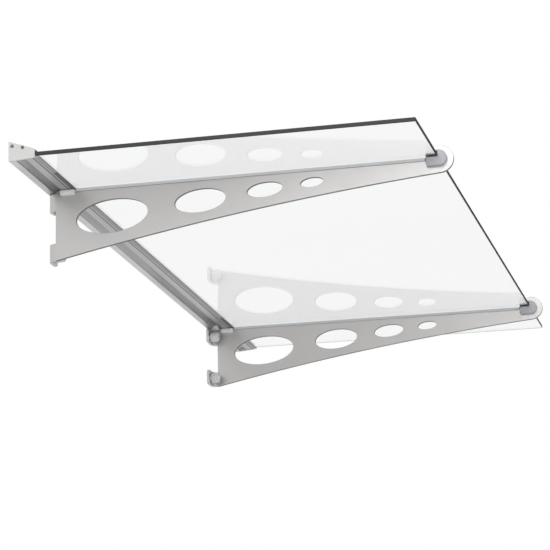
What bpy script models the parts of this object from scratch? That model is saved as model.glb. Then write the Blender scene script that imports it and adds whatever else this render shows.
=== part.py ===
"""Glass door canopy: a clear pane held in an aluminium wall rail and on two stainless brackets.

Metres, +Z up. The wall is the plane Y = 0 and the canopy stands out from it towards -Y. The origin
is the middle of the rail's back face. Distances from the wall are called reach, so Y = -reach.
A place on the pane is told as run, the way along its underside from the wall, and rise above it.
"""
from math import asin, atan2, cos, pi, radians, sin, sqrt

import bmesh
import bpy
from mathutils import Matrix, Vector
from mathutils.geometry import tessellate_polygon

# Clearance between pieces that touch
GAP = 0.0003

# Pane
PANE_WIDTH = 1.500
PANE_THICKNESS = 0.008
PANE_FRONT = 0.750
PANE_BACK = 0.0345
PANE_FALL = radians(1.306)
PANE_UNDERSIDE_AT_WALL = -0.012

# Wall rail, an extrusion as long as the pane is wide
RAIL_HEIGHT = 0.038
RAIL_DEPTH = 0.050
RAIL_NOSE_TOP = 0.0003
RAIL_JAW_BOTTOM = -0.0166
RAIL_FOOT_DEPTH = 0.014
RAIL_COVE_TOP = -0.0128
RAIL_COVE_MIDDLE = 0.022
RAIL_COVE_END = 0.0315
RAIL_DRIP_FROM_NOSE = 0.0040
RAIL_DRIP_SIZE = 0.0007
RAIL_CORNER = 0.0010
RAIL_CHAMBER = ((0.012, 0.0055), (0.022, 0.0055), (0.022, 0.0082), (0.012, 0.0120))

# Pocket in the rail round each wall bolt, open below
POCKET_FLOOR = 0.004
POCKET_END = 0.030
POCKET_RADIUS = 0.013

# Gaskets that hold the pane in the rail
GASKET_THICKNESS = 0.0012
LOWER_LIP_REACH = 0.0068
LOWER_LIP_THICKNESS = 0.0024
UPPER_LIP_REACH = 0.0042

# End caps and their screws
CAP_THICKNESS = 0.0028
CAP_FLOOR = 0.0010
CAP_BORE_RADIUS = 0.0035
CAP_SCREW_PLACES = ((0.0070, 0.0090), (0.0270, 0.0046))
CAP_SCREW_HEAD_RADIUS = 0.0031
CAP_SCREW_HEAD_HEIGHT = 0.0009
CAP_SCREW_SHANK_RADIUS = 0.0015
CAP_SCREW_LENGTH = 0.0120
CAP_SCREW_SOCKET_RADIUS = 0.0013
CAP_SCREW_SOCKET_DEPTH = 0.0007
CAP_PORT_DEPTH = 0.0140

# Brackets, folded from one sheet each
BRACKET_FROM_PANE_END = 0.200
SHEET = 0.006
FOLD_RADIUS = 0.0167
FOOT_WIDTH = 0.042
FOOT_CORNER = 0.006
UPPER_FOOT_BOTTOM = -0.051
LOWER_FOOT_TOP = -0.118
BRACKET_BOTTOM = -0.152
EDGE_BOW = 0.01175
EYE_RADIUS = 0.026
EYE_BEYOND_PANE = 0.0038
EYE_DROP = 0.0038

# The four oval holes of a bracket: reach, height, length, width
OVALS = (
    (0.1280, -0.0749, 0.141, 0.065),
    (0.3004, -0.0635, 0.099, 0.045),
    (0.4248, -0.0556, 0.068, 0.028),
    (0.5143, -0.0513, 0.043, 0.018),
)
OVAL_TILT = radians(3.0)

# Edge trim that bears the pane on a bracket
STRIP_HEIGHT = 0.0046
STRIP_LEG = 0.0012
STRIP_WRAP = 0.0015

# Seat block under the rail, which straddles the bracket
SEAT_START = 0.028
SEAT_BEYOND_RAIL = 0.0062
SEAT_CHEEK = 0.010
SEAT_ROOF = 0.0050
SEAT_HEIGHT = 0.0095
SEAT_EDGE = 0.0015

# Clamp at the pane's front edge
CLAMP_RADIUS = 0.016
CLAMP_BACK = 0.0243
CLAMP_CORNER = 0.0040
CLAMP_LIP_CORNER = 0.0020
CLAMP_CHEEK = 0.0080
CLAMP_EDGE = 0.0014
LINER = 0.0005
CLAMP_SCREW_RADIUS = 0.0025
CLAMP_SCREW_DROP = 0.0060
CLAMP_SCREW_DEPTH = 0.0055

# Wall fixings: a hexagon bolt, a washer and a domed cover each
BOLT_RADIUS = 0.0040
BOLT_HOLE_RADIUS = 0.0046
BOLT_HEAD_RADIUS = 0.0075
BOLT_HEAD_HEIGHT = 0.0055
WASHER_RADIUS = 0.0100
WASHER_THICKNESS = 0.0020
COVER_RADIUS = 0.0115
COVER_LENGTH = 0.0182
COVER_BACK_EDGE = 0.0008
COVER_EDGE = 0.0035
COVER_CROWN = 0.0012
COVER_EDGE_TURN = radians(75.0)
COVER_DOME_RADIUS_SHARE = 0.5
COVER_DOME_DROP_SHARE = 0.25
BOLT_FROM_FACE = 0.0260
UPPER_BOLT_HEIGHT = -0.0385
LOWER_BOLT_HEIGHT = -0.1360
RAIL_BOLT_FROM_FACE = 0.0200
RAIL_BOLT_HEIGHT = -0.0093

# How finely round shapes are cut
COVER_SEGMENTS = 24
HOLE_SEGMENTS = 16
SMALL_SEGMENTS = 12
FOLD_STEPS = 6
EDGE_STEPS = 24
EYE_STEPS = 28
RIM_MIN_ANGLE = radians(30.0)
NEAR = 0.00001

SIDES = {"left": -1.0, "right": 1.0}


# Places that several pieces share

def pane_at(run, rise):
    """The (reach, height) of a place on the pane."""
    return (
        run * cos(PANE_FALL) + rise * sin(PANE_FALL),
        PANE_UNDERSIDE_AT_WALL - run * sin(PANE_FALL) + rise * cos(PANE_FALL),
    )


def pane_height(reach, rise):
    """The height of the line that lies rise above the pane's underside, at a reach."""
    run = (reach - rise * sin(PANE_FALL)) / cos(PANE_FALL)
    return pane_at(run, rise)[1]


EYE_RUN = PANE_FRONT + EYE_BEYOND_PANE
EYE_CENTRE = pane_at(EYE_RUN, -EYE_DROP)
SLOT_LOW = -(LINER + 2.0 * GAP)
SLOT_HIGH = PANE_THICKNESS + LINER + 2.0 * GAP
SLOT_END = PANE_FRONT + LINER + 2.0 * GAP
PLATE_TOP = -(STRIP_HEIGHT + 2.0 * GAP)
RAIL_TOP = RAIL_HEIGHT / 2.0
RAIL_BOTTOM = -RAIL_HEIGHT / 2.0
CHANNEL_BACK = PANE_BACK - GAP
RAIL_DRIP_REACH = RAIL_DEPTH - RAIL_DRIP_FROM_NOSE
JAW_LOW = -(GASKET_THICKNESS + 2.0 * GAP)
JAW_HIGH = PANE_THICKNESS + GASKET_THICKNESS + 2.0 * GAP
SEAT_TOP = RAIL_JAW_BOTTOM - GAP
SEAT_END = RAIL_DEPTH + SEAT_BEYOND_RAIL
SEAT_UNDER_ROOF = SEAT_TOP - SEAT_ROOF
BRACKET_TOP = RAIL_BOTTOM - 2.0 * GAP
BRACKET_OUTER_FACE = PANE_WIDTH / 2.0 - BRACKET_FROM_PANE_END
SHEET_MIDDLE = BRACKET_OUTER_FACE - SHEET / 2.0


# Outlines, as lists of 2-D points

def oval_arc(centre, half_length, half_height, start, end, steps):
    """Points on an upright ellipse from angle start to angle end, both included."""
    return [
        (
            centre[0] + half_length * cos(start + (end - start) * step / steps),
            centre[1] + half_height * sin(start + (end - start) * step / steps),
        )
        for step in range(steps + 1)
    ]


def arc(centre, radius, start, end, steps):
    return oval_arc(centre, radius, radius, start, end, steps)


def circle(centre, radius, segments):
    return arc(centre, radius, 0.0, 2.0 * pi * (segments - 1) / segments, segments - 1)


def oval(reach, height, length, width):
    """An ellipse whose long axis rises towards the front by the holes' common tilt."""
    segments = 4 * max(7, round(length / 0.012))
    points = []
    for step in range(segments):
        angle = 2.0 * pi * step / segments
        along = 0.5 * length * cos(angle)
        across = 0.5 * width * sin(angle)
        points.append((
            reach + along * cos(OVAL_TILT) - across * sin(OVAL_TILT),
            height + along * sin(OVAL_TILT) + across * cos(OVAL_TILT),
        ))
    return points


# Solids, as meshes

def new_object(name, mesh, material, smooth_below=None):
    obj = bpy.data.objects.new(name, mesh)
    bpy.context.scene.collection.objects.link(obj)
    mesh.materials.append(material)
    if smooth_below is not None:
        mesh.shade_smooth()
        mesh.set_sharp_from_angle(angle=radians(smooth_below))
    return obj


def turn_outwards(mesh):
    shape = bmesh.new()
    shape.from_mesh(mesh)
    bmesh.ops.recalc_face_normals(shape, faces=shape.faces)
    if shape.calc_volume(signed=True) < 0.0:
        bmesh.ops.reverse_faces(shape, faces=shape.faces)
    shape.to_mesh(mesh)
    shape.free()


def prism(name, loops, low, high, place):
    """A closed mesh: a flat outline with holes, thick from low to high, put in place.

    loops holds the outline first and then the holes. place turns (first, second, depth) into a point.
    """
    points = [point for loop in loops for point in loop]
    count = len(points)
    triangles = tessellate_polygon([[Vector((a, b, 0.0)) for a, b in loop] for loop in loops])
    verts = [place(a, b, low) for a, b in points] + [place(a, b, high) for a, b in points]
    faces = []
    for triangle in triangles:
        faces.append(tuple(triangle))
        faces.append(tuple(index + count for index in reversed(triangle)))
    start = 0
    for loop in loops:
        for step in range(len(loop)):
            this = start + step
            after = start + (step + 1) % len(loop)
            faces.append((this, after, after + count, this + count))
        start += len(loop)
    mesh = bpy.data.meshes.new(name)
    mesh.from_pydata(verts, [], faces)
    turn_outwards(mesh)
    return mesh


def along_x(reach, height, x):
    """Places a (reach, height) section that runs along X."""
    return (x, -reach, height)


def along_reach(across, height, reach):
    """Places an (x, height) section that runs out from the wall."""
    return (across, -reach, height)


def turned(name, profile, segments, closed=False, hexagon=()):
    """A mesh turned about its own -Y axis from a profile of (radius, reach) points.

    An open profile starts and ends on the axis, and a closed one goes round a ring's section.
    Profile points whose numbers are in hexagon give a hexagon with that outer radius.
    """
    verts = []
    rings = []
    for number, (radius, reach) in enumerate(profile):
        if radius == 0.0:
            rings.append([len(verts)])
            verts.append((0.0, -reach, 0.0))
            continue
        rings.append(list(range(len(verts), len(verts) + segments)))
        for step in range(segments):
            angle = 2.0 * pi * step / segments
            size = radius
            if number in hexagon and step % 2:
                size = radius * cos(pi / 6.0)
            verts.append((size * cos(angle), -reach, size * sin(angle)))
    pairs = list(zip(rings, rings[1:]))
    if closed:
        pairs.append((rings[-1], rings[0]))
    faces = []
    for first, second in pairs:
        for step in range(segments):
            after = (step + 1) % segments
            if len(first) == 1:
                faces.append((first[0], second[step], second[after]))
            elif len(second) == 1:
                faces.append((first[step], second[0], first[after]))
            else:
                faces.append((first[step], second[step], second[after], first[after]))
    mesh = bpy.data.meshes.new(name)
    mesh.from_pydata(verts, [], faces)
    turn_outwards(mesh)
    return mesh


def cut(obj, name, mesh):
    """Cuts a solid out of obj with a live Boolean modifier."""
    cutter = bpy.data.objects.new(name, mesh)
    bpy.context.scene.collection.objects.link(cutter)
    cutter.hide_render = True
    cutter.display_type = "WIRE"
    modifier = obj.modifiers.new("cut_" + name, "BOOLEAN")
    modifier.operation = "DIFFERENCE"
    modifier.solver = "EXACT"
    modifier.object = cutter


def make_material(name, colour, roughness, metallic, transmission=0.0):
    material = bpy.data.materials.new(name)
    material.use_nodes = True
    shader = material.node_tree.nodes["Principled BSDF"]
    shader.inputs["Base Color"].default_value = (*colour, 1.0)
    shader.inputs["Roughness"].default_value = roughness
    shader.inputs["Metallic"].default_value = metallic
    shader.inputs["Transmission Weight"].default_value = transmission
    material.diffuse_color = (*colour, 1.0)
    return material


def clear_scene():
    for obj in list(bpy.data.objects):
        bpy.data.objects.remove(obj, do_unlink=True)


# Pane, rail and gaskets

def build_pane(material):
    corners = [
        pane_at(PANE_BACK, 0.0),
        pane_at(PANE_FRONT, 0.0),
        pane_at(PANE_FRONT, PANE_THICKNESS),
        pane_at(PANE_BACK, PANE_THICKNESS),
    ]
    half = PANE_WIDTH / 2.0
    new_object("glass_pane", prism("glass_pane", [corners], -half, half, along_x), material)


def rail_top(reach):
    """Height of the rail's sloping top at a reach from the wall."""
    return RAIL_TOP + (RAIL_NOSE_TOP - RAIL_TOP) * reach / RAIL_DEPTH


def rail_outline():
    """The rail's section: foot, cove, drip line, glass channel and sloping top."""
    points = [(0.0, RAIL_BOTTOM)]
    points += oval_arc(
        (RAIL_COVE_MIDDLE, RAIL_BOTTOM), RAIL_COVE_MIDDLE - RAIL_FOOT_DEPTH,
        RAIL_COVE_TOP - RAIL_BOTTOM, pi, pi / 2.0, 6)
    points += oval_arc(
        (RAIL_COVE_MIDDLE, RAIL_JAW_BOTTOM), RAIL_COVE_END - RAIL_COVE_MIDDLE,
        RAIL_COVE_TOP - RAIL_JAW_BOTTOM, pi / 2.0, 0.0, 6)[1:]
    points += [
        (RAIL_DRIP_REACH - RAIL_DRIP_SIZE, RAIL_JAW_BOTTOM),
        (RAIL_DRIP_REACH, RAIL_JAW_BOTTOM + RAIL_DRIP_SIZE),
        (RAIL_DRIP_REACH + RAIL_DRIP_SIZE, RAIL_JAW_BOTTOM),
        (RAIL_DEPTH - RAIL_CORNER, RAIL_JAW_BOTTOM),
        (RAIL_DEPTH, RAIL_JAW_BOTTOM + RAIL_CORNER),
        (RAIL_DEPTH, pane_height(RAIL_DEPTH, JAW_LOW)),
        pane_at(CHANNEL_BACK, JAW_LOW),
        pane_at(CHANNEL_BACK, JAW_HIGH),
        (RAIL_DEPTH, pane_height(RAIL_DEPTH, JAW_HIGH)),
        (RAIL_DEPTH, RAIL_NOSE_TOP - RAIL_CORNER),
        (RAIL_DEPTH - RAIL_CORNER, rail_top(RAIL_DEPTH - RAIL_CORNER)),
        (0.0, RAIL_TOP),
    ]
    return points


def build_rail(material):
    half = PANE_WIDTH / 2.0
    mesh = prism("wall_rail", [rail_outline(), list(RAIL_CHAMBER)], -half, half, along_x)
    rail = new_object("wall_rail", mesh, material, smooth_below=35.0)
    for side, sign in SIDES.items():
        x = sign * (BRACKET_OUTER_FACE - RAIL_BOLT_FROM_FACE)
        below = RAIL_BOTTOM - POCKET_RADIUS
        outline = arc((x, RAIL_BOLT_HEIGHT), POCKET_RADIUS, 0.0, pi, 16)
        outline += [(x - POCKET_RADIUS, below), (x + POCKET_RADIUS, below)]
        name = "rail_pocket_" + side
        cut(rail, name, prism(name, [outline], POCKET_FLOOR, POCKET_END, along_reach))
        name = "rail_bore_" + side
        outline = circle((x, RAIL_BOLT_HEIGHT), BOLT_HOLE_RADIUS, HOLE_SEGMENTS)
        cut(rail, name, prism(name, [outline], -POCKET_FLOOR, 2.0 * POCKET_FLOOR, along_reach))
        for number, place in enumerate(CAP_SCREW_PLACES, 1):
            name = f"screw_port_{side}_{number}"
            outline = circle(place, CAP_SCREW_SHANK_RADIUS + GAP, SMALL_SEGMENTS)
            low = sign * (half - CAP_PORT_DEPTH)
            high = sign * (half + CAP_PORT_DEPTH)
            cut(rail, name, prism(name, [outline], low, high, along_x))


def build_gaskets(material):
    half = PANE_WIDTH / 2.0
    lip_start = RAIL_DEPTH + GAP
    lip_radius = LOWER_LIP_THICKNESS / 2.0
    lip_reach = RAIL_DEPTH + LOWER_LIP_REACH - lip_radius
    lip_centre = (lip_reach, pane_height(lip_reach, -GAP - lip_radius))
    lower = [
        pane_at(PANE_BACK, -GAP - GASKET_THICKNESS),
        (lip_start, pane_height(lip_start, -GAP - GASKET_THICKNESS)),
        (lip_start, pane_height(lip_start, -GAP - LOWER_LIP_THICKNESS)),
    ]
    lower += arc(lip_centre, lip_radius, -pi / 2.0 - PANE_FALL, pi / 2.0 - PANE_FALL, 6)
    lower += [pane_at(PANE_BACK, -GAP)]
    name = "glass_gasket_lower"
    new_object(name, prism(name, [lower], -half, half, along_x), material)
    top = PANE_THICKNESS + GAP
    tip = RAIL_DEPTH + UPPER_LIP_REACH
    upper = [
        pane_at(PANE_BACK, top),
        (tip, pane_height(tip, top)),
        (lip_start, RAIL_NOSE_TOP - RAIL_CORNER),
        (lip_start, pane_height(lip_start, top + GASKET_THICKNESS)),
        pane_at(PANE_BACK, top + GASKET_THICKNESS),
    ]
    name = "glass_gasket_upper"
    new_object(name, prism(name, [upper], -half, half, along_x), material)


# End caps

def build_end_caps(cap_material, screw_material):
    outline = [
        (0.0, RAIL_BOTTOM),
        (RAIL_FOOT_DEPTH, RAIL_BOTTOM),
        (RAIL_DEPTH - RAIL_CORNER, RAIL_JAW_BOTTOM),
        (RAIL_DEPTH, RAIL_JAW_BOTTOM + RAIL_CORNER),
        (RAIL_DEPTH, RAIL_NOSE_TOP - RAIL_CORNER),
        (RAIL_DEPTH - RAIL_CORNER, rail_top(RAIL_DEPTH - RAIL_CORNER)),
        (0.0, RAIL_TOP),
    ]
    holes = [
        circle(place, CAP_SCREW_SHANK_RADIUS + GAP, SMALL_SEGMENTS) for place in CAP_SCREW_PLACES
    ]
    inner = PANE_WIDTH / 2.0 + GAP
    outer = inner + CAP_THICKNESS
    for side, sign in SIDES.items():
        name = "rail_end_cap_" + side
        mesh = prism(name, [outline] + holes, sign * inner, sign * outer, along_x)
        cap = new_object(name, mesh, cap_material)
        for number, place in enumerate(CAP_SCREW_PLACES, 1):
            name = f"cap_bore_{side}_{number}"
            bore = circle(place, CAP_BORE_RADIUS, HOLE_SEGMENTS)
            low = sign * (inner + CAP_FLOOR)
            high = sign * (outer + CAP_THICKNESS)
            cut(cap, name, prism(name, [bore], low, high, along_x))
            build_cap_screw(f"end_cap_screw_{side}_{number}", sign, place, screw_material)


def build_cap_screw(name, sign, place, material):
    """A socket screw, turned about -Y and then laid along X in its counterbore."""
    seat = PANE_WIDTH / 2.0 + GAP + CAP_FLOOR + GAP
    head = CAP_SCREW_HEAD_RADIUS
    shank = CAP_SCREW_SHANK_RADIUS
    socket = CAP_SCREW_SOCKET_RADIUS
    socket_floor = CAP_SCREW_HEAD_HEIGHT - CAP_SCREW_SOCKET_DEPTH
    mesh = turned(
        name,
        [(0.0, -CAP_SCREW_LENGTH), (shank, shank - CAP_SCREW_LENGTH), (shank, 0.0), (head, 0.0),
         (head, CAP_SCREW_HEAD_HEIGHT), (socket, CAP_SCREW_HEAD_HEIGHT), (socket, socket_floor),
         (0.0, socket_floor)],
        SMALL_SEGMENTS,
        hexagon=(5, 6),
    )
    turn = Matrix.Rotation(sign * pi / 2.0, 4, "Z")
    mesh.transform(Matrix.Translation((sign * seat, -place[0], place[1])) @ turn)
    new_object(name, mesh, material, smooth_below=35.0)


# Brackets

FOLD_LENGTH = (FOLD_RADIUS - SHEET / 2.0) * pi / 2.0
FOLD_END = FOLD_RADIUS - FOLD_LENGTH


def foot_run(from_face):
    """Where a point of a foot lies on the flat sheet, by its distance from the bracket's outer face."""
    return FOLD_END + FOLD_RADIUS - from_face


def lower_edge():
    """The bowed lower edge, from the rear corner to where it runs into the eye, and its slope there."""
    rear = Vector((FOLD_RADIUS, BRACKET_BOTTOM))
    centre = Vector(EYE_CENTRE)
    front = centre - Vector((0.0, EYE_RADIUS))
    slope = 0.0
    radius = 1.0
    for _ in range(8):
        chord = front - rear
        half = chord.length / 2.0
        radius = (half * half + EDGE_BOW * EDGE_BOW) / (2.0 * EDGE_BOW)
        slope = atan2(chord.y, chord.x) - asin(half / radius)
        front = centre + EYE_RADIUS * Vector((sin(slope), -cos(slope)))
    chord = front - rear
    half = chord.length / 2.0
    across = Vector((chord.y, -chord.x)).normalized()
    middle = (rear + front) / 2.0 + across * sqrt(radius * radius - half * half)
    start = atan2(rear.y - middle.y, rear.x - middle.x)
    end = atan2(front.y - middle.y, front.x - middle.x)
    return arc(middle, radius, start, end, EDGE_STEPS), slope


def eye_angle_behind(rise):
    """The angle, seen from the eye's centre, of its rear rim at a rise above the pane's underside."""
    return pi - asin((rise + EYE_DROP) / EYE_RADIUS) - PANE_FALL


def sheet_outline():
    """The bracket's flat blank, as (run on the sheet, height), from the lower foot round to the upper."""
    end = foot_run(FOOT_WIDTH)
    corner = FOOT_CORNER
    edge, slope = lower_edge()
    points = arc((end + corner, LOWER_FOOT_TOP - corner), corner, pi / 2.0, pi, 5)
    points += arc((end + corner, BRACKET_BOTTOM + corner), corner, pi, 1.5 * pi, 5)
    points += edge
    points += arc(EYE_CENTRE, EYE_RADIUS, slope - pi / 2.0, eye_angle_behind(SLOT_HIGH), EYE_STEPS)[1:]
    points += [pane_at(SLOT_END, SLOT_HIGH), pane_at(SLOT_END, SLOT_LOW)]
    points += arc(EYE_CENTRE, EYE_RADIUS, eye_angle_behind(SLOT_LOW), eye_angle_behind(PLATE_TOP), 2)
    points += [
        (SEAT_END + GAP, pane_height(SEAT_END + GAP, PLATE_TOP)),
        (SEAT_END + GAP, SEAT_UNDER_ROOF - GAP),
        (SEAT_START - GAP, SEAT_UNDER_ROOF - GAP),
        (SEAT_START - GAP, BRACKET_TOP),
    ]
    points += arc((end + corner, BRACKET_TOP - corner), corner, pi / 2.0, pi, 5)
    points += arc((end + corner, UPPER_FOOT_BOTTOM + corner), corner, pi, 1.5 * pi, 5)
    points += [(FOLD_RADIUS, UPPER_FOOT_BOTTOM), (FOLD_RADIUS, LOWER_FOOT_TOP)]
    return points


def fold(run, depth, height, sign):
    """Folds a point of the flat sheet: depth 0 is the outer face, and the feet turn inwards."""
    radius = FOLD_RADIUS - depth
    if run >= FOLD_RADIUS:
        inward = depth
        reach = run
    elif run >= FOLD_END:
        angle = 0.5 * pi * (FOLD_RADIUS - run) / FOLD_LENGTH
        inward = FOLD_RADIUS - radius * cos(angle)
        reach = FOLD_RADIUS - radius * sin(angle)
    else:
        inward = FOLD_RADIUS + FOLD_END - run
        reach = depth
    return Vector((sign * (BRACKET_OUTER_FACE - inward), -reach, height))


def clamp_screw_place():
    return pane_at(EYE_RUN, -EYE_DROP - CLAMP_SCREW_DROP)


def build_bracket(side, sign, material):
    """Cuts the flat blank with its holes, scores it along the fold and folds the feet over."""
    loops = [sheet_outline()]
    loops += [oval(*size) for size in OVALS]
    loops += [
        circle((foot_run(BOLT_FROM_FACE), height), BOLT_HOLE_RADIUS, HOLE_SEGMENTS)
        for height in (UPPER_BOLT_HEIGHT, LOWER_BOLT_HEIGHT)
    ]
    loops.append(circle(clamp_screw_place(), CLAMP_SCREW_RADIUS + GAP, SMALL_SEGMENTS))
    name = "bracket_" + side
    mesh = prism(name, loops, 0.0, SHEET, lambda run, height, depth: (run, depth, height))
    shape = bmesh.new()
    shape.from_mesh(mesh)
    for step in range(FOLD_STEPS + 1):
        bmesh.ops.bisect_plane(
            shape,
            geom=shape.verts[:] + shape.edges[:] + shape.faces[:],
            dist=1e-6,
            plane_co=(FOLD_RADIUS - FOLD_LENGTH * step / FOLD_STEPS, 0.0, 0.0),
            plane_no=(1.0, 0.0, 0.0),
        )
    for vert in shape.verts:
        vert.co = fold(vert.co.x, vert.co.y, vert.co.z, sign)
    shape.to_mesh(mesh)
    shape.free()
    turn_outwards(mesh)
    new_object(name, mesh, material, smooth_below=30.0)


def build_bearing_strip(side, sign, material):
    """The U-shaped trim on the bracket's upper edge that the pane rests on."""
    slot = SHEET / 2.0 + GAP
    half = slot + STRIP_LEG
    roof = -GAP - STRIP_HEIGHT
    section = [
        (half, roof - STRIP_WRAP), (half, -GAP), (-half, -GAP), (-half, roof - STRIP_WRAP),
        (-slot, roof - STRIP_WRAP), (-slot, roof), (slot, roof), (slot, roof - STRIP_WRAP),
    ]

    def place(across, rise, run):
        reach, height = pane_at(run, rise)
        return (sign * SHEET_MIDDLE + across, -reach, height)

    name = "bearing_strip_" + side
    start = RAIL_DEPTH + LOWER_LIP_REACH + GAP + (STRIP_HEIGHT + STRIP_WRAP) * sin(PANE_FALL)
    end = EYE_RUN - EYE_RADIUS - GAP
    new_object(name, prism(name, [section], start, end, place), material)


def build_seat_block(side, sign, material):
    """The saddle under the rail's lower jaw, astride the bracket."""
    slot = SHEET / 2.0 + GAP
    half = slot + SEAT_CHEEK
    bottom = SEAT_TOP - SEAT_HEIGHT
    edge = SEAT_EDGE
    section = [
        (half - edge, bottom), (half, bottom + edge), (half, SEAT_TOP - edge), (half - edge, SEAT_TOP),
        (edge - half, SEAT_TOP), (-half, SEAT_TOP - edge), (-half, bottom + edge), (edge - half, bottom),
        (-slot, bottom), (-slot, SEAT_UNDER_ROOF), (slot, SEAT_UNDER_ROOF), (slot, bottom),
    ]
    section = [(sign * SHEET_MIDDLE + across, height) for across, height in section]
    name = "seat_block_" + side
    new_object(name, prism(name, [section], SEAT_START, SEAT_END, along_reach), material)


# Front clamps

def clamp_outline():
    """A cheek's outline: round in front, nearly square behind, with the pane's slot let in."""
    radius = CLAMP_RADIUS
    back = -CLAMP_BACK
    corner = CLAMP_CORNER
    lip = CLAMP_LIP_CORNER
    low = SLOT_LOW + EYE_DROP
    high = SLOT_HIGH + EYE_DROP
    slot = SLOT_END - EYE_RUN
    points = arc((0.0, 0.0), radius, -pi / 2.0, pi / 2.0, 18)
    points += arc((back + lip, radius - lip), lip, pi / 2.0, pi, 3)
    points += [(back, high), (slot, high), (slot, low), (back, low)]
    points += arc((back + corner, corner - radius), corner, pi, 1.5 * pi, 4)
    return [pane_at(EYE_RUN + run, rise - EYE_DROP) for run, rise in points]


def soften_rim(mesh, face):
    """Bevels the rim of the cheek's visible face, leaving out the slot's own edges."""
    shape = bmesh.new()
    shape.from_mesh(mesh)
    rim = []
    for edge in shape.edges:
        if any(abs(vert.co.x - face) > NEAR for vert in edge.verts):
            continue
        if edge.calc_face_angle(0.0) < RIM_MIN_ANGLE:
            continue
        middle = (edge.verts[0].co + edge.verts[1].co) / 2.0
        rise = middle.z - pane_height(-middle.y, 0.0)
        in_slot = SLOT_LOW - NEAR <= rise <= SLOT_HIGH + NEAR
        if in_slot and -middle.y <= SLOT_END:
            continue
        rim.append(edge)
    bmesh.ops.bevel(
        shape, geom=rim, offset=CLAMP_EDGE, segments=2, profile=0.5, affect="EDGES", clamp_overlap=True)
    shape.to_mesh(mesh)
    shape.free()


def build_clamp(side, sign, material, screw_material, liner_material):
    for place, face, outward in (
        ("outer", BRACKET_OUTER_FACE + GAP, 1.0),
        ("inner", BRACKET_OUTER_FACE - SHEET - GAP, -1.0),
    ):
        name = f"front_clamp_{side}_{place}"
        far = face + outward * CLAMP_CHEEK
        mesh = prism(name, [clamp_outline()], sign * face, sign * far, along_x)
        soften_rim(mesh, sign * far)
        cheek = new_object(name, mesh, material, smooth_below=35.0)
        outline = circle(clamp_screw_place(), CLAMP_SCREW_RADIUS + GAP, SMALL_SEGMENTS)
        low = sign * (face - outward * 2.0 * GAP)
        high = sign * (face + outward * (CLAMP_SCREW_DEPTH + GAP))
        name += "_bore"
        cut(cheek, name, prism(name, [outline], low, high, along_x))
    build_clamp_screw("front_clamp_screw_" + side, sign, screw_material)
    build_liner("front_liner_" + side, sign, liner_material)


def build_clamp_screw(name, sign, material):
    """The hidden grub screw that holds the two cheeks to the sheet."""
    low = BRACKET_OUTER_FACE - SHEET - GAP - CLAMP_SCREW_DEPTH
    high = BRACKET_OUTER_FACE + GAP + CLAMP_SCREW_DEPTH
    outline = circle(clamp_screw_place(), CLAMP_SCREW_RADIUS, SMALL_SEGMENTS)
    mesh = prism(name, [outline], sign * low, sign * high, along_x)
    new_object(name, mesh, material, smooth_below=35.0)


def build_liner(name, sign, material):
    """The soft liner folded round the pane's edge inside the clamp."""
    start = EYE_RUN - CLAMP_BACK
    high = PANE_THICKNESS + GAP
    end = PANE_FRONT + GAP
    section = [
        pane_at(start, -GAP - LINER),
        pane_at(end + LINER, -GAP - LINER),
        pane_at(end + LINER, high + LINER),
        pane_at(start, high + LINER),
        pane_at(start, high),
        pane_at(end, high),
        pane_at(end, -GAP),
        pane_at(start, -GAP),
    ]
    low = BRACKET_OUTER_FACE - SHEET - GAP - CLAMP_CHEEK
    far = BRACKET_OUTER_FACE + GAP + CLAMP_CHEEK
    new_object(name, prism(name, [section], sign * low, sign * far, along_x), material)


# Wall fixings

def build_fixing(place, x, height, seat, materials):
    """A bolt, washer and domed cover on a piece whose front is at reach seat."""
    washer_material, bolt_material, cover_material = materials
    washer_back = seat + GAP
    washer_front = washer_back + WASHER_THICKNESS
    washer = turned(
        "wall_washer_" + place,
        [(BOLT_RADIUS + GAP, washer_back), (WASHER_RADIUS, washer_back),
         (WASHER_RADIUS, washer_front), (BOLT_RADIUS + GAP, washer_front)],
        COVER_SEGMENTS,
        closed=True,
    )
    head_back = washer_front + GAP
    head_front = head_back + BOLT_HEAD_HEIGHT
    bolt = turned(
        "wall_bolt_" + place,
        [(0.0, 0.0), (BOLT_RADIUS, 0.0), (BOLT_RADIUS, head_back), (BOLT_HEAD_RADIUS, head_back),
         (BOLT_HEAD_RADIUS, head_front), (0.0, head_front)],
        SMALL_SEGMENTS,
        hexagon=(3, 4),
    )
    inside = BOLT_HEAD_RADIUS + GAP
    front = head_back + COVER_LENGTH
    profile = [
        (0.0, head_front + GAP),
        (inside, head_front + GAP),
        (inside, head_back),
        (COVER_RADIUS - COVER_BACK_EDGE, head_back),
        (COVER_RADIUS, head_back + COVER_BACK_EDGE),
    ]
    shoulder = (COVER_RADIUS - COVER_EDGE, front - COVER_CROWN - COVER_EDGE)
    profile += arc(shoulder, COVER_EDGE, 0.0, COVER_EDGE_TURN, 4)
    edge_radius, edge_reach = profile[-1]
    profile.append((
        COVER_DOME_RADIUS_SHARE * edge_radius, front - COVER_DOME_DROP_SHARE * (front - edge_reach)))
    profile.append((0.0, front))
    cover = turned("wall_cover_" + place, profile, COVER_SEGMENTS)
    for name, mesh, material in (
        ("wall_washer_" + place, washer, washer_material),
        ("wall_bolt_" + place, bolt, bolt_material),
        ("wall_cover_" + place, cover, cover_material),
    ):
        mesh.transform(Matrix.Translation((x, 0.0, height)))
        new_object(name, mesh, material, smooth_below=40.0)


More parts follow.
